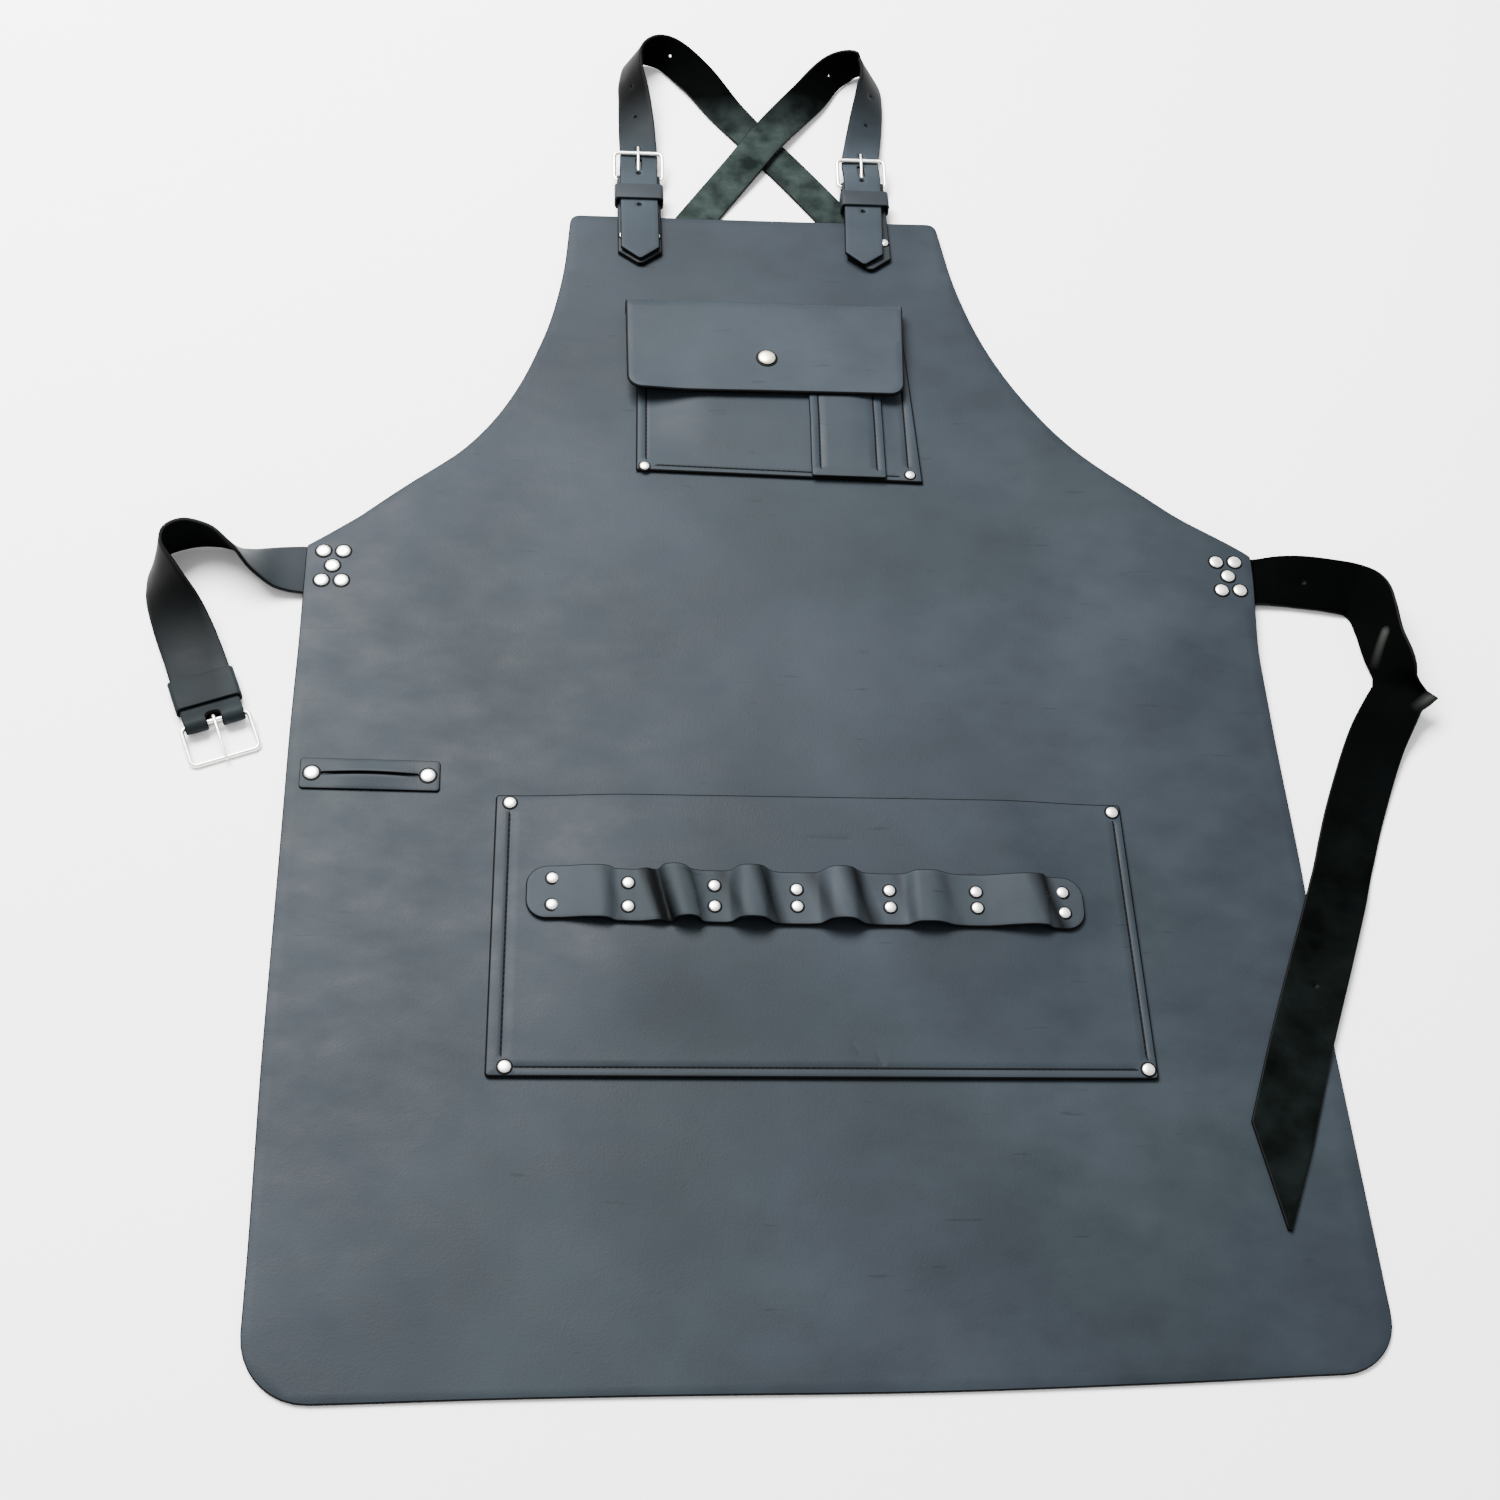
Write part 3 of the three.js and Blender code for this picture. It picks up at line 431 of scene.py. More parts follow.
def ways(points, across, closed=False):
    """Ways across and up at each point of a line, from the rough way or ways across."""
    if closed:
        step = unit(np.roll(points, -1, axis=0) - np.roll(points, 1, axis=0))
    else:
        step = unit(np.gradient(points, axis=0))
    a = np.broadcast_to(np.array(across, float), points.shape)
    a = unit(a - np.sum(a * step, axis=1)[:, None] * step)
    return a, np.cross(a, step)


class Path:
    """A strip's middle line with its ways across and up, by length along it."""

    def __init__(self, points, across):
        self.p = np.array(points, float)
        self.a, self.u = ways(self.p, across)
        self.s = lengths(self.p)
        self.length = float(self.s[-1])

    def at(self, c, s, h):
        def pick(v):
            return np.column_stack([np.interp(s, self.s, v[:, k]) for k in range(3)])

        out = pick(self.p) + unit(pick(self.a)) * np.asarray(c)[:, None]
        out += unit(pick(self.u)) * np.asarray(h)[:, None]
        out[:, 2] = np.maximum(out[:, 2], FLOOR_CLEAR)
        return out

    def nearest(self, point):
        return float(self.s[np.argmin(np.linalg.norm(self.p - np.array(point), axis=1))])


def strap_path(rows):
    rows = np.array(rows, float)
    t = np.linspace(0, 1, (len(rows) - 1) * ROW_STEPS + 1)
    return Path(catmull(rows[:, :3], t), catmull(rows[:, 3:], t))


# Meshes

# Places of a sheet's materials, the flat size and area of each sheet, and sides of a round cap
TOP, UNDER, RIM = range(3)
CUTS = {}
CAP_SIDES = 28

# At sharp corners the round edge grows no wider than by this share
SHARPEST = 0.5


def linked(name, data):
    obj = bpy.data.objects.new(name, data)
    bpy.context.scene.collection.objects.link(obj)
    return obj


def new_object(name, points, faces, mats, marks=None):
    mesh = bpy.data.meshes.new(name)
    mesh.from_pydata([tuple((p - MIDDLE) * MM) for p in points], [], faces)
    for m in mats:
        mesh.materials.append(m)
    if marks is not None:
        mesh.polygons.foreach_set("material_index", np.array(marks, np.int32))
    mesh.polygons.foreach_set("use_smooth", np.ones(len(mesh.polygons), bool))
    mesh.update()
    obj = linked(name, mesh)
    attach(obj, "root")
    return obj


def spaced_loop(points, step):
    """A closed line with points no further apart than step."""
    points = np.array(points, float)
    out = []
    for a, b in zip(points, np.roll(points, -1, axis=0)):
        n = max(int(math.ceil(np.linalg.norm(b - a) / step)), 1)
        out += [a + (b - a) * k / n for k in range(n)]
    return np.array(out)


def spaced_line(points, step):
    points = np.array(points, float)
    s = lengths(points)
    t = np.linspace(0, s[-1], max(int(round(s[-1] / step)), 1) + 1)
    return np.column_stack([np.interp(t, s, points[:, k]) for k in range(points.shape[1])])


def inside(points, loops):
    """Which points lie in the loops' even-odd inside."""
    hit = np.zeros(len(points), bool)
    for loop in loops:
        for a, b in zip(loop, np.roll(loop, -1, axis=0)):
            over = (a[1] > points[:, 1]) != (b[1] > points[:, 1])
            if over.any():
                x = a[0] + (points[over, 1] - a[1]) * (b[0] - a[0]) / (b[1] - a[1])
                flip = np.where(over)[0][points[over, 0] < x]
                hit[flip] = ~hit[flip]
    return hit


def left_of(d):
    return np.column_stack([-d[:, 1], d[:, 0]])


def inward(loop):
    """Ways into the leather at each point of a loop that keeps it on the left, longer at corners."""
    left = left_of(unit(np.roll(loop, -1, axis=0) - loop))
    both = unit(left + np.roll(left, 1, axis=0))
    share = np.clip(np.sum(both * left, axis=1), SHARPEST, 1)
    return both / share[:, None]


def loop_area(loop):
    x, y = loop.T
    return float(np.sum(x * np.roll(y, -1) - np.roll(x, -1) * y)) / 2


def turned(loop, ccw):
    return loop if (loop_area(loop) > 0) == ccw else loop[::-1]


class Plan:
    """A sheet's flat points with the lines between them, and how deep some of the points are sunk."""

    CLEAR_OF_POINTS = 0.55
    CLEAR_OF_RIM = 0.4
    FINE_CELL = 4
    INSIDE_ONLY = 1
    SAME_POINT = 1e-6

    def __init__(self, loops):
        self.loops = loops
        self.spots, self.lines, self.sunk = [], [], {}
        for loop in loops:
            self.add(loop, True)
        self.rim = len(self.spots)

    def add(self, line, closed):
        """Adds a line, and gives the number of its first point."""
        first, count = len(self.spots), len(line)
        self.spots += list(line)
        last = count if closed else count - 1
        self.lines += [(first + k, first + (k + 1) % count) for k in range(last)]
        return first

    def seam(self, line, deep):
        line = spaced_line(line, SEAM_STEP)
        left = left_of(unit(np.gradient(line, axis=0)))
        for side in (-1, 0, 1):
            first = self.add(line + left * side * SEAM_SIDE, False)
            if side == 0:
                self.sunk.update((first + k, deep) for k in range(1, len(line) - 1))

    def pit(self, x, y, radius):
        for part in (1, PIT_FLOOR):
            first = self.add(np.array(circle(x, y, radius * part, PIT_SIDES)), True)
        self.sunk.update((first + k, PIT_DEEP) for k in range(PIT_SIDES))

    def filling(self, cell):
        """Evenly spread points inside the loops, clear of the planned points and of the rim."""
        fixed = np.array(self.spots)
        low, high = fixed[: self.rim].min(axis=0), fixed[: self.rim].max(axis=0)
        counts = np.maximum(np.round((high - low) / cell).astype(int), 1)
        gx, gy = np.meshgrid(*[np.linspace(a, b, n + 1) for a, b, n in zip(low, high, counts)])
        grid = np.column_stack([gx.ravel(), gy.ravel()])
        grid = grid[inside(grid, self.loops)]
        keep = np.ones(len(grid), bool)
        clear = self.CLEAR_OF_POINTS * min(cell, self.FINE_CELL)
        for spot in fixed:
            keep &= np.linalg.norm(grid - spot, axis=1) > clear
        for loop in self.loops:
            for a, b in zip(loop, np.roll(loop, -1, axis=0)):
                d = b - a
                t = np.clip(((grid - a) @ d) / max(d @ d, TINY), 0, 1)
                keep &= np.linalg.norm(grid - a - t[:, None] * d, axis=1) > self.CLEAR_OF_RIM * cell
        return grid[keep]

    def triangles(self, cell):
        """Flat points, triangles between them, and the number of each planned point among them."""
        every = [Vector(p) for p in np.vstack([self.spots, self.filling(cell)])]
        result = delaunay_2d_cdt(every, self.lines, [], self.INSIDE_ONLY, self.SAME_POINT)
        flat = np.array([tuple(v) for v in result[0]])
        tris, origin = np.array(result[2]), result[3]
        tris = tris[~inside(flat[tris].mean(axis=1), self.loops[1:])]
        return flat, tris, {source: k for k, sources in enumerate(origin) for source in sources}


def plate(name, outline, place, thick, cell, mats, holes=(), seams=(), creases=(), pits=(), edge=EDGE):
    """A cut sheet with holes, bent by place(x, y, h), with round edges, sunk lines and pits."""
    loops = [turned(spaced_loop(outline, cell), True)]
    loops += [turned(np.array(h, float), False) for h in holes]
    CUTS[name] = np.ptp(loops[0], axis=0), sum(loop_area(loop) for loop in loops)
    insets = [inward(loop) for loop in loops]
    plan = Plan([loop + way * edge for loop, way in zip(loops, insets)])
    for seam in seams:
        plan.seam(seam, SEAM_DEEP)
    for crease in creases:
        plan.seam(crease, CREASE_DEEP)
    for pit in pits:
        plan.pit(*pit)
    flat, tris, number = plan.triangles(cell)
    n, half = len(flat), thick / 2
    drop = np.zeros(n)
    for k, deep in plan.sunk.items():
        drop[number[k]] = deep
    x, y = flat.T
    points = [place(x, y, half - drop), place(x, y, np.full(n, -half))]
    faces = [tuple(t) for t in tris] + [tuple(t[::-1] + n) for t in tris]
    # Seams and pits get the dark cut-edge colour: painted shade in the grooves and pits
    marks = [RIM if drop[t].max() > CREASE_DEEP else TOP for t in tris] + [UNDER] * len(tris)
    corner = 1 - math.sqrt(0.5)
    bevel = [(corner, half - corner * edge), (0, half - edge)]
    profile = bevel + [(inset, -h) for inset, h in bevel[::-1]]
    total, first = 2 * n, 0
    for loop, way in zip(loops, insets):
        count = len(loop)
        inner = [number[first + k] for k in range(count)]
        rings = [inner]
        for inset, h in profile:
            x, y = (loop + way * inset * edge).T
            points.append(place(x, y, np.full(count, h)))
            rings.append(list(range(total, total + count)))
            total += count
        rings.append([k + n for k in inner])
        for upper, lower in zip(rings, rings[1:]):
            for k in range(count):
                j = (k + 1) % count
                faces.append((upper[k], lower[k], lower[j], upper[j]))
                marks.append(RIM)
        first += count
    points = np.vstack(points)
    used = np.zeros(len(points), bool)
    used[[v for f in faces for v in f]] = True
    renumber = np.cumsum(used) - 1
    faces = [tuple(int(renumber[v]) for v in f) for f in faces]
    return new_object(name, points[used], faces, mats, marks)


def ring_faces(rows, count, first=0, closed=False):
    """Faces between rings of points, and from the last ring to the first if closed."""
    faces = []
    for k in range(rows if closed else rows - 1):
        a, b = first + k * count, first + (k + 1) % rows * count
        for i in range(count):
            j = (i + 1) % count
            faces.append((a + i, a + j, b + j, b + i))
    return faces


def end_faces(rows, count, first=0):
    last = first + (rows - 1) * count
    return [tuple(range(first + count - 1, first - 1, -1)), tuple(range(last, last + count))]


def sweep(name, line, across, profile, mat, closed=False, size=None):
    """A bar along a line: profile is across and up offsets, and across the way or ways across."""
    line, profile = np.array(line, float), np.array(profile, float)
    a, u = ways(line, across, closed)
    n, m = len(line), len(profile)
    size = np.ones(n) if size is None else size
    points = [line[k] + size[k] * (profile[:, :1] * a[k] + profile[:, 1:] * u[k]) for k in range(n)]
    faces = ring_faces(n, m, closed=closed)
    if not closed:
        faces += end_faces(n, m)
    return new_object(name, np.vstack(points), [f[::-1] for f in faces], [mat])


def lathe(name, profile, centre, mats, shade_rows, sides=CAP_SIDES):
    """A cap turned about +Z from radius and height pairs, with painted shade in its lowest rows, and flat
    below.
    """
    points = []
    for r, z in profile[:-1]:
        points += [(x, y, centre[2] + z) for x, y in circle(centre[0], centre[1], r, sides)]
    points.append((centre[0], centre[1], centre[2] + profile[-1][1]))
    rows, top = len(profile) - 1, len(points) - 1
    faces = ring_faces(rows, sides)
    last = (rows - 1) * sides
    faces += [(last + i, last + (i + 1) % sides, top) for i in range(sides)]
    marks = [int(k < shade_rows * sides) for k in range(len(faces))] + [1]
    faces.append(tuple(range(sides - 1, -1, -1)))
    return new_object(name, np.array(points, float), faces, mats, marks)


# Materials

class Material:
    """A new material with short ways to add nodes to it."""

    NOISE_ROUGH = 0.55
    NOISE_SPAN = (0.3, 0.7)

    def __init__(self, name):
        self.made = bpy.data.materials.new(name)
        self.made.use_nodes = True
        self.tree = self.made.node_tree
        self.place = self.node("TexCoord", {}).outputs["Object"]

    def feed(self, socket, value):
        """Gives a socket a number, a vector, a colour or what another node puts out."""
        if isinstance(value, bpy.types.NodeSocket):
            self.tree.links.new(value, socket)
        elif socket.type == "RGBA":
            socket.default_value = (*value, 1)
        else:
            socket.default_value = value

    def node(self, kind, inputs, **settings):
        node = self.tree.nodes.new("ShaderNode" + kind)
        for key, value in settings.items():
            setattr(node, key, value)
        for key, value in inputs.items():
            self.feed(node.inputs[key], value)
        return node

    def done(self, inputs):
        """Sets the shader's inputs, and gives the material."""
        for key, value in inputs.items():
            self.feed(self.tree.nodes["Principled BSDF"].inputs[key], value)
        return self.made

    def noise(self, scale, detail, stretch=None, turn=0.0):
        place = self.place
        if stretch:
            inputs = {"Vector": place, "Scale": stretch, "Rotation": (0, 0, turn)}
            place = self.node("Mapping", inputs).outputs["Vector"]
        inputs = {"Vector": place, "Scale": scale, "Detail": detail, "Roughness": self.NOISE_ROUGH}
        return self.node("TexNoise", inputs).outputs["Fac"]

    def ramp(self, value, stops):
        node = self.node("ValToRGB", {"Fac": value})
        elements = node.color_ramp.elements
        for element, (at, color) in zip(elements, (stops[0], stops[-1])):
            element.position, element.color = at, (*color, 1)
        for at, color in stops[1:-1]:
            elements.new(at).color = (*color, 1)
        return node.outputs["Color"]

    def mix(self, how, share, a, b):
        inputs = {0: share, 6: a, 7: b}
        return self.node("Mix", inputs, data_type="RGBA", blend_type=how).outputs[2]

    def share(self, value, low, high, least=0.0, most=1.0):
        """From least at low to most at high."""
        inputs = {"Value": value, "From Min": low, "From Max": high, "To Min": least, "To Max": most}
        return self.node("MapRange", inputs).outputs["Result"]

    def spread(self, value, least, most):
        """A noise's usual span, spread from least to most."""
        return self.share(value, *self.NOISE_SPAN, least, most)

    def bump(self, height, strength, distance, after=None):
        inputs = {"Height": height, "Strength": strength, "Distance": distance}
        if after is not None:
            inputs["Normal"] = after
        return self.node("Bump", inputs).outputs["Normal"]

    def math(self, how, a, b):
        return self.node("Math", {0: a, 1: b}, operation=how).outputs["Value"]

    def vector(self, how, a, b):
        node = self.node("VectorMath", {0: a, "Scale" if how == "SCALE" else 1: b}, operation=how)
        return node.outputs["Value" if how in ("DOT_PRODUCT", "DISTANCE") else "Vector"]

    def shade_mask(self, shade_spans):
        """0 where shade is painted on the leather, and up to 1: the most of several spans along an axis.
        """
        axes = self.node("SeparateXYZ", {"Vector": self.place}).outputs
        shares = [self.share(axes[axis], dark_at, light_at) for axis, dark_at, light_at in shade_spans]
        most = shares[0]
        for share in shares[1:]:
            most = self.math("MAXIMUM", most, share)
        return most

    def fold_shade_tones(self, fold_shades):
        """Painted shade on the tool strip's folds, by the place along it, leaning across its width."""
        along = self.vector("DOT_PRODUCT", self.place, (1, FOLD_LEAN, 0))
        x, y = LOWER_POCKET["x"] - MIDDLE[0], LOWER_POCKET["y"] + STRIP["y"] - MIDDLE[1]
        low, high = ((x + STRIP[edge] + FOLD_LEAN * y) * MM for edge in ("left", "right"))
        long = STRIP["right"] - STRIP["left"]
        stops = [((at - STRIP["left"]) / long, (tone, tone, tone)) for at, tone in fold_shades]
        return self.ramp(self.share(along, low, high), stops)

    def painted_highlight(self, start, end):
        """From 1 at the start of a painted highlight to 0 at its end and beside it."""
        start, end = ((np.array(p) - MIDDLE) * MM for p in (start, end))
        way = end - start
        long = float(np.linalg.norm(way))
        off = self.vector("SUBTRACT", self.place, tuple(start))
        part = self.share(self.vector("DOT_PRODUCT", off, tuple(way / long)), 0, long)
        beside = self.vector("DISTANCE", off, self.vector("SCALE", tuple(way), part))
        return self.math("MULTIPLY", self.share(beside, HIGHLIGHT_WIDE * MM, 0), self.share(part, 1, 0))


# Noises: scale per metre and detail, some with stretch and turn
CLOUD = 7.0, 5.0
PATCH = 26.0, 4.0, (1, 1.7, 1), 0.5
TINT = 4.0, 2.0
SCUFF = 30.0, 2.0, (1, 7, 1), 0.9
RIPPLE = 45.0, 4.0
FIBRE = 700.0, 4.0
BLOT_DETAIL = 6.0
PORES = 700

# Bumps: strength and distance in metres
PORE_BUMP = 0.1, 0.0004
RIPPLE_BUMP = 0.05, 0.002
FIBRE_BUMP = 0.4, 0.0006

# Colours along a noise, and how much of a layer shows
CLOUD_STOPS = 0.32, 0.5, 0.68
BLOT_STOPS = 0.34, 0.66
TINTS = [(0.35, (0.50, 0.56, 0.47)), (0.5, (0.5, 0.5, 0.5)), (0.65, (0.51, 0.47, 0.50))]
SCUFFS = [(0.24, (0.62, 0.62, 0.62)), (0.30, (1, 1, 1)), (0.9, (1, 1, 1))]
PATCH_SHARE = 0.22
TINT_SHARE = 0.30
SCUFF_SHARE = 0.7

# Roughness from least to most, and specular levels
GRAIN_ROUGH = 0.46, 0.6
FLESH_ROUGH = 0.8, 0.95
SHEEN = 0.09
STRAP_SHEEN = 0.035
FLESH_SHEEN = 0.012
# Colour of the painted shade at the straps' bends
PAINTED_SHADE_TONE = (0.0003, 0.0004, 0.0004)


def grain_leather(name, tones, sheen=SHEEN, shade_spans=(), fold_shades=()):
    """Smooth leather: cloudy patches, faint tints, small scuffs, a fine grain, and painted shade at the
    bends and folds.
    """
    m = Material(name)
    patch = m.noise(*PATCH)
    color = m.ramp(m.noise(*CLOUD), list(zip(CLOUD_STOPS, tones)))
    color = m.mix("OVERLAY", PATCH_SHARE, color, patch)
    color = m.mix("OVERLAY", TINT_SHARE, color, m.ramp(m.noise(*TINT), TINTS))
    color = m.mix("MULTIPLY", SCUFF_SHARE, color, m.ramp(m.noise(*SCUFF), SCUFFS))
    # Painted shade: black at the bends, easing to the leather's tone
    if shade_spans:
        color = m.mix("MIX", m.shade_mask(shade_spans), PAINTED_SHADE_TONE, color)
    # Painted shade darkens the flanks of the tool strip's folds
    if fold_shades:
        color = m.mix("MULTIPLY", 1.0, color, m.fold_shade_tones(fold_shades))
    pores = m.node("TexVoronoi", {"Vector": m.place, "Scale": PORES}).outputs["Distance"]
    return m.done({
        "Base Color": color,
        "Roughness": m.spread(patch, *GRAIN_ROUGH),
        "Specular IOR Level": sheen,
        "Normal": m.bump(m.noise(*RIPPLE), *RIPPLE_BUMP, m.bump(pores, *PORE_BUMP)),
    })


def flesh_leather(name, dark, light, blots, shade_spans=(), highlights=()):
    """The rough side of the leather, mottled and fibrous, with painted shade at the bends and painted
    highlights at the fold.
    """
    m = Material(name)
    blot = m.noise(blots, BLOT_DETAIL)
    color = m.ramp(blot, list(zip(BLOT_STOPS, (dark, light))))
    # Painted shade: black at the bend, easing to the leather's tone
    if shade_spans:
        color = m.mix("MIX", m.shade_mask(shade_spans), PAINTED_SHADE_TONE, color)
    # Painted highlights along the fold's crease and lip
    for start, end in highlights:
        color = m.mix("MIX", m.painted_highlight(start, end), color, HIGHLIGHT_TONE)
    return m.done({
        "Base Color": color,
        "Roughness": m.spread(blot, *FLESH_ROUGH),
        "Specular IOR Level": FLESH_SHEEN,
        "Normal": m.bump(m.noise(*FIBRE), *FIBRE_BUMP),
    })


def worn(name, wear, stops, roughness, bump, level, metallic=0.0):
    """One wear all over: its noise, colours along it, roughness along it or all over, and its bump."""
    m = Material(name)
    wear = m.noise(*wear)
    return m.done({
        "Base Color": m.ramp(wear, stops),
        "Roughness": m.spread(wear, *roughness) if isinstance(roughness, tuple) else roughness,
        "Specular IOR Level": level,
        "Metallic": metallic,
        "Normal": m.bump(wear, *bump),
    })


def plated_metal(name, low, high):
    """Polished plating with faint wear."""
    stops = [(0.3, low), (0.7, high)]
    bump = 0.05, 0.0003
    return worn(name, (240.0, 5.0), stops, roughness=(0.34, 0.46), bump=bump, level=0.5, metallic=1.0)


# Tones of the smooth leather, then of its rough side, from dark to light, and of edges and thread
GREY_TONES = (0.0090, 0.0121, 0.0156), (0.0115, 0.0153, 0.0196), (0.0148, 0.0195, 0.0248)
# Painted light: the bib pockets and the flap get lighter copies of the body's tones, for the brighter
# light on them
PANEL_LIT_TONES = (0.0102, 0.0136, 0.0174), (0.0128, 0.0170, 0.0216), (0.0162, 0.0214, 0.0270)
FLAP_LIT_TONES = (0.0118, 0.0156, 0.0199), (0.0147, 0.0195, 0.0247), (0.0186, 0.0245, 0.0309)
STRIP_TONES = (0.0164, 0.0204, 0.0240), (0.0208, 0.0255, 0.0299), (0.0266, 0.0326, 0.0380)
TAB_TONES = (0.0084, 0.0108, 0.0132), (0.0106, 0.0136, 0.0164), (0.0140, 0.0178, 0.0210)
STRAP_TONES = (0.0151, 0.0196, 0.0241), (0.0193, 0.0246, 0.0297), (0.0252, 0.0319, 0.0378)
WAIST_TONES = (0.0074, 0.0092, 0.0110), (0.0094, 0.0118, 0.0138), (0.0122, 0.0150, 0.0174)
FLESH_TONES = (0.0003, 0.0005, 0.0004), (0.0020, 0.0030, 0.0026)
# The shoulder straps' rough side is lighter than that of the other straps
LIGHTER_FLESH_TONES = (0.0034, 0.0053, 0.0049), (0.0180, 0.0250, 0.0234)
LONG_TONES = (0.0005, 0.0008, 0.0007), (0.0034, 0.0050, 0.0046)
EDGE_STOPS = [(0.35, (0.0005, 0.0005, 0.0006)), (0.75, (0.0014, 0.0015, 0.0018))]
THREAD_STOPS = [(0.3, (0.0008, 0.0009, 0.001)), (0.7, (0.003, 0.0034, 0.004))]

# Painted shade at the bends, black where they face away from the light: axis, place of the dark end and
# place of the light end, in metres
SHOULDER_SHADE = {"left": [("Y", 0.474, 0.375)], "right": [("Y", 0.503, 0.410)]}
WAIST_SHADE = [("X", -0.392, -0.364), ("Y", -0.015, -0.120)]
FLESH_SHADE = [("Y", 0.486, 0.440)]
LONG_SHADE = [("Y", -0.10, -0.38)]

# Painted highlights on the right waist strap at its fold, each from its lighter end, and their half width
FOLD_HIGHLIGHTS = [
    ((405.2, -54.1, 23.3), (399.4, -72.1, 5.2)),
    ((432.0, -98.0, 18.0), (415.0, -110.0, 13.0)),
]
HIGHLIGHT_WIDE = 5
HIGHLIGHT_TONE = (0.0300, 0.0330, 0.0295)

# Painted shade on the tool strip's folds: millimetres from the pocket's middle, and tone
FOLD_LEAN = 0.3
FOLD_SHADES = [
    (-180, 1), (-134, 1), (-126, 0.7), (-121, 1),
    (-107, 0.9), (-102, 0.08), (-95, 0.05), (-90, 0.9), (-80, 1), (-75, 0.7), (-70, 1),
    (-61, 1), (-54, 0.45), (-49, 1), (-40, 1), (-32, 0.2), (-24, 1),
    (-7, 1), (1, 0.4), (8, 1), (14, 1), (25, 0.15), (34, 1),
    (47, 1), (52, 0.72), (58, 1), (73, 1), (79, 0.82), (85, 1),
    (131, 1), (143, 0.12), (151, 0.95),
]

DARK = grain_leather("tab_grain", TAB_TONES)
WAIST_DARK = grain_leather("waist_grain", WAIST_TONES, STRAP_SHEEN, WAIST_SHADE)
FLESH = flesh_leather("flesh_side", *FLESH_TONES, blots=26.0)
FLESH_LIGHTER = flesh_leather("lighter_flesh_side", *LIGHTER_FLESH_TONES, blots=48.0, shade_spans=FLESH_SHADE)
FLESH_LONG = flesh_leather("long_flesh_side", *LONG_TONES, blots=30.0, shade_spans=LONG_SHADE, highlights=FOLD_HIGHLIGHTS)
CUT = worn("cut_edge", (160.0, 4.0), EDGE_STOPS, roughness=(0.5, 0.7), bump=(0.2, 0.0004), level=0.06)
NICKEL = plated_metal("nickel", (0.84, 0.83, 0.80), (0.94, 0.93, 0.90))
SNAP_METAL = plated_metal("snap_plating", (0.84, 0.77, 0.58), (0.94, 0.89, 0.74))
THREAD = worn("thread", (900.0, 2.0), THREAD_STOPS, roughness=0.8, bump=(0.5, 0.0004), level=0.08)

# A sheet's top, its underside and its cut edges
GREY_SHEET = [grain_leather("grey_grain", GREY_TONES), FLESH, CUT]
PANEL_SHEET = [grain_leather("panel_lit_grain", PANEL_LIT_TONES), FLESH, CUT]
FLAP_SHEET = [grain_leather("flap_lit_grain", FLAP_LIT_TONES), FLESH, CUT]
STRIP_SHEET = [grain_leather("strip_grain", STRIP_TONES, STRAP_SHEEN, fold_shades=FOLD_SHADES), FLESH, CUT]
SHOULDER_SHEETS = {
    side: [grain_leather("shoulder_grain_" + side, STRAP_TONES, STRAP_SHEEN, bend), FLESH_LIGHTER, CUT]
    for side, bend in SHOULDER_SHADE.items()
}
WAIST_SHEET = [WAIST_DARK, FLESH, CUT]
TURNED_SHEET = [FLESH_LONG, WAIST_DARK, CUT]
TAB_SHEET = [FLESH, DARK, CUT]


def stands_for(obj, node):
    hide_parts(node)


def laid(obj, node):
    """Hides the imported part that a leather sheet stands for, and looks up the size it was cut to."""
    stands_for(obj, node)
    (width, length), area = CUTS[obj.name]


# Heights and outline of the body sheet

def lift(x, y):
    corner = smooth(*CORNER_RAISED_X, np.abs(x)) * smooth(*CORNER_RAISED_Y, y)
    return BIB_LIFT * smooth(*BIB_RAISED_Y, y) + CORNER_LIFT * corner


def relief(x, y):
    """Low swells of the whole sheet, from 0 up."""
    return sum(height * (1 + rough(x, y, wide, seed)) / 2 for height, wide, seed in SWELLS)


def lean(y):
    return BIB_LEAN * np.clip((y - ARMHOLE_FOOT) / (BIB_TOP_Y - ARMHOLE_FOOT), 0, 1)


def flare(y):
    rise, fall = smooth(FLARE["from"], FLARE["full"], y), smooth(FLARE["full"], FLARE["to"], y)
    return FLARE["width"] * (rise - fall)


def hem_wave(x, y):
    sag = sum(deep * bell(x, at, wide) for at, wide, deep in HEM_WAVES)
    return sag * smooth(HEM_Y + HEM_REACH, HEM_Y, y)


def half_outline(radius):
    """From the hem's corner up to the bib's corner, on the right."""
    line = arc(HALF_WIDTH - radius, HEM_Y + radius, radius, -QUARTER, 0, STEPS["hem"])
    line += [tuple(p) for p in catmull(ARMHOLE, np.linspace(0, 1, POINTS["armhole"]))]
    x, y = ARMHOLE[-1][0] - BIB_RADIUS, BIB_TOP_Y - BIB_RADIUS
    line += arc(x, y, BIB_RADIUS, QUARTER / 4, QUARTER, STEPS["bib"])
    return spaced_line(line, BODY_CELL / 2)


